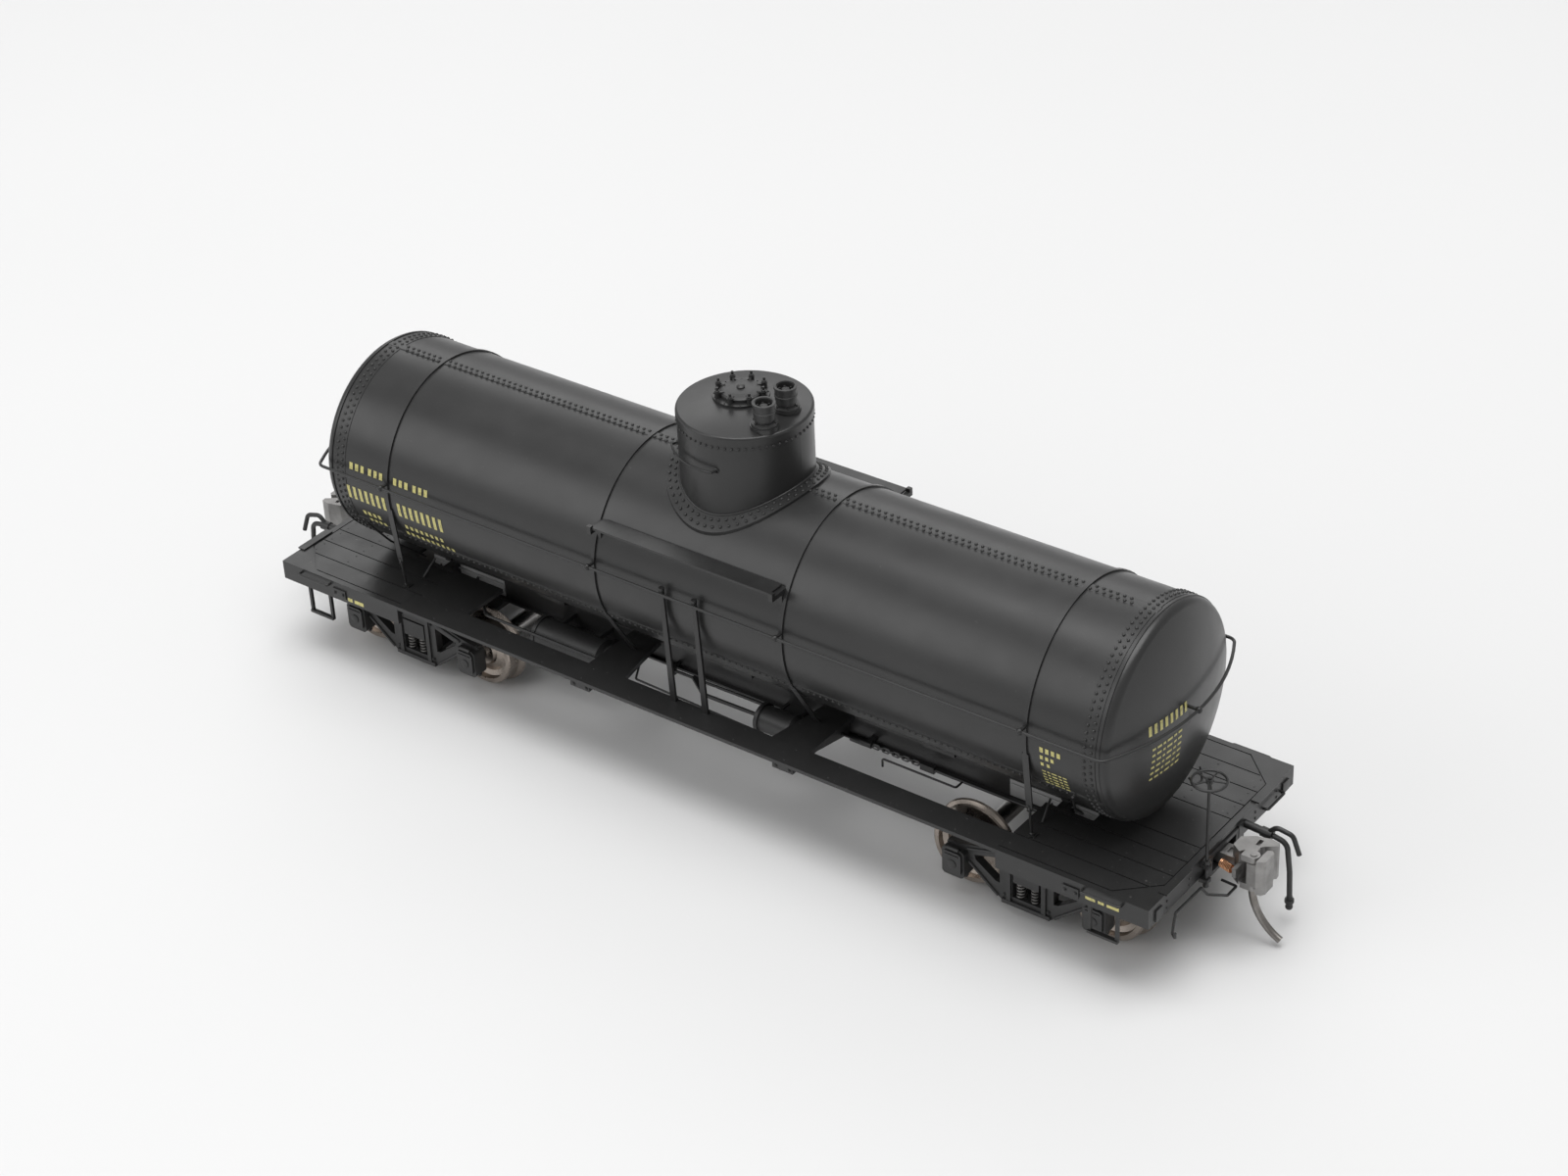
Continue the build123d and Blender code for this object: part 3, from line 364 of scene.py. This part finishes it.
def marking(name):
    """Yellow printed marking, a little worn."""
    s = Shader(name)
    worn = s.noise(2600, 3, 0.7)
    s.colour(s.ramp(worn, 0.33, 0.5, (0.34, 0.31, 0.13, 1), (0.58, 0.53, 0.2, 1)))
    s.rough(s.between(s.noise(900, 3), 0.4, 0.55))
    s.bump(s.noise(3000, 2), 0.2, 0.00001)
    return s.material


tank_paint = paint("tank_paint", 0.02, (0.3, 0.38), 0.15)
deck_paint = paint("deck_paint", 0.02, (0.3, 0.42), 0.5, 0.00002)
wire_paint = paint("wire_paint", 0.016, (0.34, 0.46), 0.15)
detail_paint = paint("detail_paint", 0.026, (0.38, 0.5), 0.3, 0.00002)
truck_paint = paint("truck_paint", 0.026, (0.4, 0.52), 0.3, 0.00003)
coupler_metal = bare_metal("coupler_metal", grey(0.34, 0.02), grey(0.23, 0.02), (0.42, 0.56), 0.00006, 700)
spring_copper = bare_metal("spring_copper", (0.85, 0.48, 0.28, 1), (0.6, 0.3, 0.15, 1), (0.2, 0.3))
PIN_GRAIN = (0.3, 0.3, 2)
AXLE_GRAIN = (3, 0.3, 3)
pin_steel = bare_metal("pin_steel", grey(0.3, 0.05), grey(0.17, 0.08), (0.25, 0.4), 0.00002, 1200, PIN_GRAIN)
axle_steel = bare_metal("axle_steel", grey(0.42, 0.03), grey(0.3, 0.03), (0.25, 0.4), stretch=AXLE_GRAIN)
spring_steel = bare_metal("spring_steel", grey(0.2, 0.03), grey(0.1, 0.03), (0.35, 0.5))
screw_brass = bare_metal("screw_brass", (0.62, 0.47, 0.25, 1), (0.4, 0.3, 0.16, 1), (0.25, 0.4))
# Light grey in place of black: a painted reflection for the sill plates and wire seen through the platform
# slots.
slot_reflection_paint = paint("slot_reflection_paint", 0.3, (0.3, 0.4), 0.0)
yellow = marking("marking_yellow")

by_slot = {
    "tank_paint": tank_paint,
    "deck_paint": deck_paint,
    "wire_paint": wire_paint,
    "detail_paint": detail_paint,
    "truck_paint": truck_paint,
    "coupler_metal": coupler_metal,
    "spring_copper": spring_copper,
    "pin_steel": pin_steel,
    "axle_steel": axle_steel,
    "spring_steel": spring_steel,
    "screw_brass": screw_brass,
}
wheel_stations = (
    TRUCK_CENTRE + AXLE_OFFSET,
    TRUCK_CENTRE - AXLE_OFFSET,
    -TRUCK_CENTRE + AXLE_OFFSET,
    -TRUCK_CENTRE - AXLE_OFFSET,
)
wheel_metals = {f"wheels_{i}": turned_metal(f"wheel_metal_{i}", x) for i, x in enumerate(wheel_stations, 1)}

for part in frame["record"]["subparts"]:
    name = part["node"]
    nodes[name].data.materials.clear()
    nodes[name].data.materials.append(wheel_metals.get(name) or by_slot[part["material_slot"]])


# ---------------------------------------------------------------- tank seams and rivets
LOW_LAP = (116.5, 124.0)
LOW_RIVETS = 119.4


def tank_seams():
    """Lap edges of the tank plates: one along the crown, one low on each side, one at each head."""
    bm = bmesh.new()
    steps = 6
    for low, high in ((-1.2, 4.8), LOW_LAP, (-LOW_LAP[1], -LOW_LAP[0])):
        columns = []
        for x in (-SHELL_HALF + 0.1, SHELL_HALF - 0.1):
            column = []
            for i in range(steps + 1):
                lift = -0.03 if i in (0, steps) else 0.09
                place, _ = on_tank(x, low + (high - low) * i / steps, TANK_RADIUS + lift)
                column.append(bm.verts.new(place))
            columns.append(column)
        for i in range(steps):
            bm.faces.new((columns[0][i], columns[0][i + 1], columns[1][i + 1], columns[1][i]))
    for end in (-1, 1):
        for x, width, lift in ((SHELL_HALF - 1.25, 2.0, 0.06), (SHELL_HALF + 0.12, 0.34, 0.13)):
            profile = (
                (TANK_RADIUS - 0.05, -width / 2),
                (TANK_RADIUS + lift, -width / 2 + 0.05),
                (TANK_RADIUS + lift, width / 2 - 0.05),
                (TANK_RADIUS - 0.05, width / 2),
            )
            add_turned(bm, profile, frame_at((end * x, 0, TANK_AXIS_Z), (end, 0, 0), (0, 1, 0)), 128)
    return piece("tank_seams", bm, "wagon", tank_paint, 25)


def clear_of_bands(x, gap):
    """True where a rivet does not fall under a tank band."""
    return all(abs(abs(x) - band) > gap for band in BAND_X)


def tank_rivets():
    """Rivet rows of the tank: two along the crown, one low on each side, two round each head."""
    bm = bmesh.new()
    pitch = 0.9
    inset = 2.9
    count = int(2 * (SHELL_HALF - inset) / pitch)
    for row, angle in enumerate((0.5, 3.6)):
        for i in range(count):
            x = -SHELL_HALF + inset + pitch * (i + 0.5 * row)
            if abs(x) > DOME_RADIUS + 1.6 and clear_of_bands(x, 0.5):
                place, normal = on_tank(x, angle, TANK_RADIUS + 0.08)
                add_rivet(bm, place, normal, 0.22, 0.19)
    for side in (-1, 1):
        for i in range(count):
            x = -SHELL_HALF + inset + pitch * i
            if clear_of_bands(x, 0.65):
                place, normal = on_tank(x, side * LOW_RIVETS, TANK_RADIUS + 0.08)
                add_rivet(bm, place, normal, 0.2, 0.17)
    around = 92
    for end in (-1, 1):
        for row, x in enumerate((SHELL_HALF - 1.7, SHELL_HALF - 0.85)):
            for i in range(around):
                place, normal = on_tank(end * x, 360 * (i + 0.5 * row) / around, TANK_RADIUS + 0.05)
                add_rivet(bm, place, normal, 0.22, 0.2)
    return piece("tank_rivets", bm, "wagon", tank_paint, 60)


def dome_rivets():
    """Rivets under the dome's rim and two staggered rows on the flange at its foot."""
    bm = bmesh.new()
    around = 62
    for i in range(around):
        a = 2 * math.pi * i / around
        normal = Vector((math.cos(a), math.sin(a), 0))
        add_rivet(bm, normal * DOME_RADIUS + Vector((0, 0, 47.45)), normal, 0.18, 0.17)
    around = 56
    for row, radius in enumerate((8.72, 9.42)):
        for i in range(around):
            a = 2 * math.pi * (i + 0.5 * row) / around
            x, y = radius * math.cos(a), radius * math.sin(a)
            normal = Vector((0, y, math.sqrt(FLANGE_SURFACE**2 - y * y)))
            add_rivet(bm, Vector((x, 0, TANK_AXIS_Z)) + normal, normal, 0.22, 0.2)
    return piece("dome_rivets", bm, "wagon", tank_paint, 60)


def weld_bead():
    """Solder fillet where the dome stands on its flange."""
    bm = bmesh.new()
    points = []
    for i in range(121):
        a = 2 * math.pi * i / 120
        x, y = (DOME_RADIUS + 0.04) * math.cos(a), (DOME_RADIUS + 0.04) * math.sin(a)
        points.append((x, y, TANK_AXIS_Z + math.sqrt(FLANGE_SURFACE**2 - y * y)))
    add_tube(bm, points, 0.15, 8, capped=False)
    return piece("dome_solder_bead", bm, "wagon", tank_paint, 60)


# ---------------------------------------------------------------- dome top
def dome_top():
    """Bolts round the manway cover, its rivets and knob, and the lips of the two safety valves."""
    bm = bmesh.new()
    cover_z = DOME_CROWN_Z + 0.2
    for i in range(8):
        a = math.radians(45 * i + 12)
        outward = Vector((math.cos(a), math.sin(a), 0))
        centre = Vector((MANWAY[0], MANWAY[1], 0))
        seat = centre + outward * 2.95 + Vector((0, 0, cover_z + 0.72))
        add_bolt(bm, seat, (0, 0, 1), 0.6, 0.22, outward)
        inner = centre + outward * 2.1 + Vector((0, 0, cover_z + 0.52))
        outer = centre + outward * 3.05 + Vector((0, 0, cover_z + 0.52))
        add_tube(bm, (inner, outer), 0.17, 8)
    for i in range(20):
        a = 2 * math.pi * i / 20
        place = Vector((MANWAY[0] + 3.22 * math.cos(a), MANWAY[1] + 3.22 * math.sin(a), cover_z))
        add_rivet(bm, place, (0, 0, 1), 0.11, 0.1)
    knob = ((0.5, 0.55), (0.5, 0.85), (0.32, 1.0), (0, 1.05))
    add_turned(bm, knob, frame_at((*MANWAY, cover_z), (0, 0, 1)), 20)
    for x, y in VALVES:
        place = Vector((x, y, DOME_CROWN_Z - 0.15))
        lip = ((1.3, 2.6), (1.42, 2.62), (1.42, 2.86), (1.28, 2.9), (1.1, 2.86), (1.05, 2.7))
        add_turned(bm, lip, frame_at(place, (0, 0, 1)), 32)
        add_turned(bm, ((1.3, 1.55), (1.38, 1.6), (1.38, 1.75), (1.3, 1.8)), frame_at(place, (0, 0, 1)), 32)
    return piece("dome_top_details", bm, "wagon", detail_paint)


def dome_grab():
    """Curved grab iron round the near side of the dome."""
    bm = bmesh.new()
    z = 44.35
    points = []
    for i in range(25):
        a = math.radians(-140 + 62 * i / 24)
        reach = DOME_RADIUS + (0.75 if 0 < i < 24 else 0)
        points.append((reach * math.cos(a), reach * math.sin(a), z))
    add_tube(bm, points, 0.15, 8)
    for i in (0, 24):
        a = math.radians(-140 + 62 * i / 24)
        normal = (math.cos(a), math.sin(a), 0)
        foot = frame_at(Vector(normal) * DOME_RADIUS + Vector((0, 0, z)), normal)
        add_turned(bm, ((0.34, 0), (0.34, 0.1), (0.2, 0.2)), foot, 14)
    return piece("dome_grab_iron", bm, "wagon", wire_paint)


# ---------------------------------------------------------------- frame details
def deck_fixings():
    """Nail heads in the platform planks, plates and bolts along the sills."""
    bm = bmesh.new()
    boards = [side * (a + b) / 2 for side in (-1, 1) for a, b in ((3.3, 6.35), (6.35, 9.4), (9.4, 12.45))]
    for y in boards:
        for x in (53.4, 58.6, 64.3):
            for offset in (-0.8, 0.8):
                add_rivet(bm, (x, y + offset, DECK_TOP), (0, 0, 1), 0.12, 0.05)
    for side in (-1, 1):
        face = side * HALF_WIDTH
        add_box(bm, (54.9, face - 0.1, 10.7), (57.1, face + side * 0.2, 11.9))
        for x in (55.3, 56.7):
            add_bolt(bm, (x, face + side * 0.18, 11.3), (0, side, 0), 0.4, 0.16)
    for y in (-14.8, -12.3, -7.4, 7.4, 12.3, 14.8):
        add_rivet(bm, (HALF_LENGTH, y, 11.6), (1, 0, 0), 0.18, 0.14)
        add_rivet(bm, (HALF_LENGTH, y, 10.7), (1, 0, 0), 0.18, 0.14)
    for side in (-1, 1):
        low = (HALF_LENGTH - 0.1, side * 14.2 - 0.7, 10.4)
        high = (HALF_LENGTH + 0.22, side * 14.2 + 0.7, 11.9)
        add_box(bm, low, high, 0.08)
    both_ends(bm)
    return piece("deck_fixings", bm, "wagon", deck_paint)


def board_fixings():
    """Rivet pairs over the cross members along both running boards."""
    bm = bmesh.new()
    for side in (-1, 1):
        for x in (-40, -31, -22, -15.6, -8, 0, 8, 15.6, 22, 31, 40):
            for y in (13.2, 15.6):
                add_rivet(bm, (x, side * y, DECK_TOP), (0, 0, 1), 0.14, 0.06)
        for x in (-15.6, 15.6):
            for offset in (-1.0, 1.0):
                add_bolt(bm, (x + offset, side * 16.1, 11.85), (0, side, 0), 0.42, 0.12)
    return piece("running_board_fixings", bm, "wagon", deck_paint)


def sill_rivets():
    """Rivets along the bolsters and the crossbearers."""
    bm = bmesh.new()
    for side in (-1, 1):
        for x in (-47.4, 47.4):
            for i in range(8):
                for face in (-1.5, 1.5):
                    add_rivet(bm, (x + face, side * (4.4 + 1.4 * i), 11.8), (face, 0, 0), 0.15, 0.12)
        for x in (-15.6, 15.6):
            for i in range(6):
                for face in (-0.4, 0.4):
                    add_rivet(bm, (x + face, side * (4.0 + 1.4 * i), 11.6), (face, 0, 0), 0.13, 0.1)
    return piece("frame_rivets", bm, "wagon", deck_paint)


def band_fittings():
    """At each end of the outer tank bands: a foot with its nut, and a nut where the rod meets the strap."""
    bm = bmesh.new()
    for x in (-BAND_X[1], BAND_X[1]):
        for side in (-1, 1):
            add_bolt(bm, (x, side * STRAP_FOOT_Y, DECK_TOP + 0.12), (0, 0, 1), 0.6, 0.4)
            add_bolt(bm, (x, side * STRAP_ROD_Y, STRAP_ROD_TOP), (0, 0, 1), 0.5, 0.35)
            low = (x - 0.5, side * STRAP_FOOT_Y - 0.25, DECK_TOP - 0.02)
            high = (x + 0.5, side * STRAP_FOOT_Y + 0.7, DECK_TOP + 0.14)
            add_box(bm, low, high)
    return piece("band_foot_nuts", bm, "wagon", tank_paint)


def small_wires():
    """Thin wires: struts on the platforms, drip wires from the tank and hooks under its heads."""
    bm = bmesh.new()
    for end in (-1, 1):
        strut = ((end * 47.6, -9.1, DECK_TOP + 0.05), (end * 47.3, -6.9, DECK_TOP + 1.9))
        add_tube(bm, strut, 0.15, 8)
        drip = ((53.6, -12.2, 20.8), (52.3, -9.6, 17.0), (50.9, -5.9, 13.6), (50.65, -5.3, 12.9))
        add_tube(bm, rounded_path([(end * x, y, z) for x, y, z in drip], 0.6), 0.15, 8)
        hook = ((59.0, 4.2, 15.6), (59.7, 4.4, 14.7), (60.0, 5.6, 14.7), (59.2, 6.4, 15.9))
        add_tube(bm, rounded_path([(end * p[0], p[1], p[2]) for p in hook], 0.35), 0.14, 8)
    return piece("small_wires", bm, "wagon", wire_paint)


def slot_plates():
    """Satin plates on the centre sill's sides that show through the slots in the platforms, in a light grey
    that is a painted reflection on their black paint; the wire along them carries the same painted
    reflection.
    """
    bm = bmesh.new()
    for end in (-1, 1):
        for side in (-1, 1):
            for x0, x1 in ((39.2, 46.8), (48.0, 51.4)):
                low = (min(end * x0, end * x1), side * 2.95 - 0.06, 9.5)
                high = (max(end * x0, end * x1), side * 2.95 + 0.06, 12.28)
                add_box(bm, low, high, 0.02)
            add_tube(bm, ((end * 39.4, side * 3.15, 11.35), (end * 51.2, side * 3.15, 11.35)), 0.09, 8)
    return piece("slot_plates", bm, "wagon", slot_reflection_paint)


# ---------------------------------------------------------------- trucks
def truck_details(end, centre):
    """Bolts, ribs and journal box lids on both side frames of a truck."""
    bm = bmesh.new()
    for side in (-1, 1):
        out = Vector((0, side, 0))
        for way in (-1, 1):
            x = centre + way * AXLE_OFFSET
            for offset in (-1.1, 1.1):
                add_bolt(bm, (x + offset, side * 11.9, 7.3), (0, 0, 1), 0.5, 0.3)
                add_bolt(bm, (x + offset, side * 11.9, 3.4), (0, 0, -1), 0.5, 0.3)
            lid = frame_at((x, side * 13.28, 5.3), out)
            add_turned(bm, ((0.62, -0.05), (0.62, 0.1), (0.4, 0.2), (0, 0.22)), lid, 20)
            add_box(bm, (x - 0.95, side * 13.25, 6.45), (x + 0.95, side * 13.4, 6.62), 0.03)
            for dx, z in ((3.0, 8.3), (3.0, 2.9)):
                add_bolt(bm, (centre + way * dx, side * 12.1, z), out, 0.45, 0.2)
            lean = ((centre + way * 3.9, side * 12.15, 2.45), (x - way * 1.7, side * 12.15, 5.75))
            add_tube(bm, lean, 0.2, 8)
            high = ((centre + way * 3.6, side * 12.15, 8.72), (x - way * 1.6, side * 12.15, 7.5))
            add_tube(bm, high, 0.2, 8)
    return piece(f"truck_details_{end}", bm, f"truck_{end}", truck_paint)


def truck_coils(end, centre):
    """The wound springs that carry the truck bolster."""
    bm = bmesh.new()
    for y in (-11.6, 11.6):
        for x in (-1.0, 1.0):
            low, high = (centre + x, y, 3.08), (centre + x, y, 5.22)
            add_tube(bm, coil_points(low, high, 0.5, 5), 0.13, 8)
    return piece(
        f"truck_coils_{end}",
        bm,
        f"truck_{end}",
        spring_steel,
        replaces=(f"truck_springs_{end}",),
    )


# ---------------------------------------------------------------- couplers
def coupler_spring(end, sign):
    """The small wound spring beside the coupler that holds its jaw shut."""
    bm = bmesh.new()
    start = (sign * 66.95, sign * -1.76, COUPLER_Z + 0.05)
    stop = (sign * 68.57, sign * -2.24, COUPLER_Z + 0.05)
    add_tube(bm, coil_points(start, stop, 0.46, 8), 0.085, 8)
    return piece(
        f"coupler_spring_{end}",
        bm,
        f"coupler_{end}",
        spring_copper,
        replaces=(f"knuckle_spring_{end}",),
    )


# ---------------------------------------------------------------- markings
def add_mark(bm, corners):
    """A thin printed patch from four corners."""
    bm.faces.new([bm.verts.new(c) for c in corners])


def tank_mark(bm, x0, x1, high, low, lift=0.035):
    """A printed bar that follows the near side of the tank between two heights."""
    steps = 3
    for i in range(steps):
        z = [high + (low - high) * (i + k) / steps for k in (0, 1)]
        angles = [math.degrees(math.acos((v - TANK_AXIS_Z) / TANK_RADIUS)) for v in z]
        places = ((x0, angles[0]), (x1, angles[0]), (x1, angles[1]), (x0, angles[1]))
        corners = [on_tank(x, a, TANK_RADIUS + lift)[0] for x, a in places]
        add_mark(bm, corners)


def bar_row(bm, x, z, lengths, gap, height):
    """A row of printed bars on the near side of the tank, from x toward +X."""
    for length in lengths:
        if clear_of_bands(x + length / 2, length / 2 + 0.3):
            tank_mark(bm, x, x + length, z + height / 2, z - height / 2)
        x += length + gap


def flat_bars(bm, place, along, up, lengths, gap, height):
    """A row of printed bars on a flat face, from a corner along one direction."""
    place, along, up = Vector(place), Vector(along), Vector(up)
    for length in lengths:
        far, rise = place + along * length, up * height
        add_mark(bm, (place, far, far + rise, place + rise))
        place = place + along * (length + gap)


def head_bars(bm, y, z, lengths, gap, height):
    """A row of printed bars on the dished head at the hand-brake end, from y toward +Y."""
    ball = (DISH_HALF**2 + DISH_DEPTH**2) / (2 * DISH_DEPTH)
    for length in lengths:
        strips = 3
        for i in range(strips):
            corners = []
            for across, rise in ((i, 0), (i + 1, 0), (i + 1, height), (i, height)):
                cy = y + length * across / strips
                cz = z + rise - TANK_AXIS_Z
                x = SHELL_HALF + HEAD_BULGE - ball + math.sqrt(ball**2 - cy * cy - cz * cz) + 0.06
                corners.append((x, cy, z + rise))
            add_mark(bm, corners)
        y += length + gap


def markings():
    """Plain yellow bars and blocks where such a wagon carries its painted data."""
    bm = bmesh.new()
    letters = (0.55,) * 3
    for x in (-54.4, -51.2, -46.9, -43.6):
        bar_row(bm, x, 29.6, letters, 0.4, 0.95)
    bar_row(bm, -55.2, 25.6, (0.5, 0.5) * 4, 0.5, 2.0)
    bar_row(bm, -46.6, 25.6, (0.5, 0.5) * 4, 0.5, 2.0)
    bar_row(bm, -53.6, 22.6, (0.5,) * 4, 0.35, 0.7)
    bar_row(bm, -53.0, 21.4, (0.45,) * 4, 0.35, 0.6)
    bar_row(bm, -46.2, 22.9, (0.45,) * 8, 0.4, 0.65)
    bar_row(bm, -46.6, 21.6, (0.45,) * 10, 0.4, 0.6)
    bar_row(bm, 49.9, 26.6, (0.45,) * 4, 0.3, 0.7)
    bar_row(bm, 49.9, 25.5, (0.4,) * 3, 0.3, 0.55)
    bar_row(bm, 49.9, 24.5, (0.4,) * 2, 0.4, 0.5)
    for i in range(7):
        bar_row(bm, 49.9, 23.4 - 0.52 * i, (0.5, 0.35, 0.7, 0.4, 0.5), 0.2, 0.2)
    head_bars(bm, -7.2, 28.6, (0.45,) * 8, 0.45, 1.3)
    for i in range(6):
        head_bars(bm, -6.6, 26.4 - 0.85 * i, (0.5, 0.7, 0.4, 0.9, 0.5, 0.7), 0.3, 0.3)
    for x, z in ((-56.3, 10.85), (57.9, 11.3)):
        flat_bars(bm, (x, -HALF_WIDTH - 0.02, z - 0.3), (1, 0, 0), (0, 0, 1), (1.3, 0.8, 1.6), 0.35, 0.55)
    for x, z in ((56.3, 10.85), (-57.9, 11.3)):
        flat_bars(bm, (x, HALF_WIDTH + 0.02, z - 0.3), (-1, 0, 0), (0, 0, 1), (1.3, 0.8, 1.6), 0.35, 0.55)
    return piece("markings", bm, "wagon", yellow, 60)


# ---------------------------------------------------------------- assembly
tank_seams()
tank_rivets()
dome_rivets()
weld_bead()
dome_top()
dome_grab()
deck_fixings()
board_fixings()
sill_rivets()
band_fittings()
small_wires()
slot_plates()
for end, sign in (("a", 1), ("b", -1)):
    truck_details(end, sign * TRUCK_CENTRE)
    truck_coils(end, sign * TRUCK_CENTRE)
    coupler_spring(end, sign)
markings()


# ---------------------------------------------------------------- stage, light and camera
def floor():
    """A pale matte table top with a very faint mottle."""
    bm = bmesh.new()
    half = 3.0
    bm.faces.new([bm.verts.new((x * half, y * half, 0)) for x, y in ((-1, -1), (1, -1), (1, 1), (-1, 1))])
    mesh = bpy.data.meshes.new("floor")
    bm.to_mesh(mesh)
    bm.free()
    s = Shader("floor_pale")
    s.colour(s.ramp(s.noise(4, 2), 0.3, 0.7, (0.69, 0.69, 0.69, 1), (0.71, 0.71, 0.71, 1)))
    s.rough(s.between(s.noise(9, 2), 0.75, 0.85))
    mesh.materials.append(s.material)
    obj = bpy.data.objects.new("floor", mesh)
    bpy.context.scene.collection.objects.link(obj)


def area_light(name, place, aim, size, power, colour=(1, 1, 1)):
    """A rectangular soft light at a place in metres, aimed at a point."""
    data = bpy.data.lights.new(name, "AREA")
    data.shape = "RECTANGLE"
    data.size, data.size_y = size
    data.energy = power
    data.color = colour
    obj = bpy.data.objects.new(name, data)
    direction = Vector(aim) - Vector(place)
    obj.matrix_world = Matrix.Translation(place) @ direction.to_track_quat("-Z", "Y").to_matrix().to_4x4()
    bpy.context.scene.collection.objects.link(obj)
    return obj


def lighting():
    """Soft studio light: wide ones overhead, at the front left and at the back left, pale surroundings."""
    world = bpy.data.worlds.new("studio")
    world.use_nodes = True
    world.node_tree.nodes["Background"].inputs["Color"].default_value = (1, 1, 1, 1)
    world.node_tree.nodes["Background"].inputs["Strength"].default_value = 0.44
    bpy.context.scene.world = world
    bpy.context.scene.view_settings.view_transform = "Standard"
    middle = (0, 0, 0.025)
    area_light("overhead", (0.05, -0.05, 1.0), middle, (1.0, 0.8), 9.2)
    area_light("front_left", (-0.7, -0.9, 0.6), middle, (1.0, 0.7), 4.0)
    area_light("back_left", (-0.75, 0.95, 0.8), middle, (1.1, 0.6), 3.2)


def photo_camera():
    """The camera at the photograph's angle, distance and field of view."""
    azimuth, elevation, roll = (math.radians(v) for v in (38.18, 32.92, -2.844))
    flat = math.cos(elevation)
    back = Vector((math.sin(azimuth) * flat, -math.cos(azimuth) * flat, math.sin(elevation)))
    level = Vector((0, 0, 1)).cross(back).normalized()
    upright = back.cross(level)
    right = level * math.cos(roll) + upright * math.sin(roll)
    up = upright * math.cos(roll) - level * math.sin(roll)
    target = Vector((16.373, -15.031, 37.015)) * MM
    data = bpy.data.cameras.new("camera")
    data.sensor_fit = "HORIZONTAL"
    data.sensor_width = 36
    data.lens = 74.257
    data.clip_start = 0.01
    obj = bpy.data.objects.new("camera", data)
    matrix = Matrix((right, up, back)).transposed().to_4x4()
    matrix.translation = target + back * 369.551 * MM
    obj.matrix_world = matrix
    bpy.context.scene.collection.objects.link(obj)
    bpy.context.scene.camera = obj


floor()
lighting()
photo_camera()
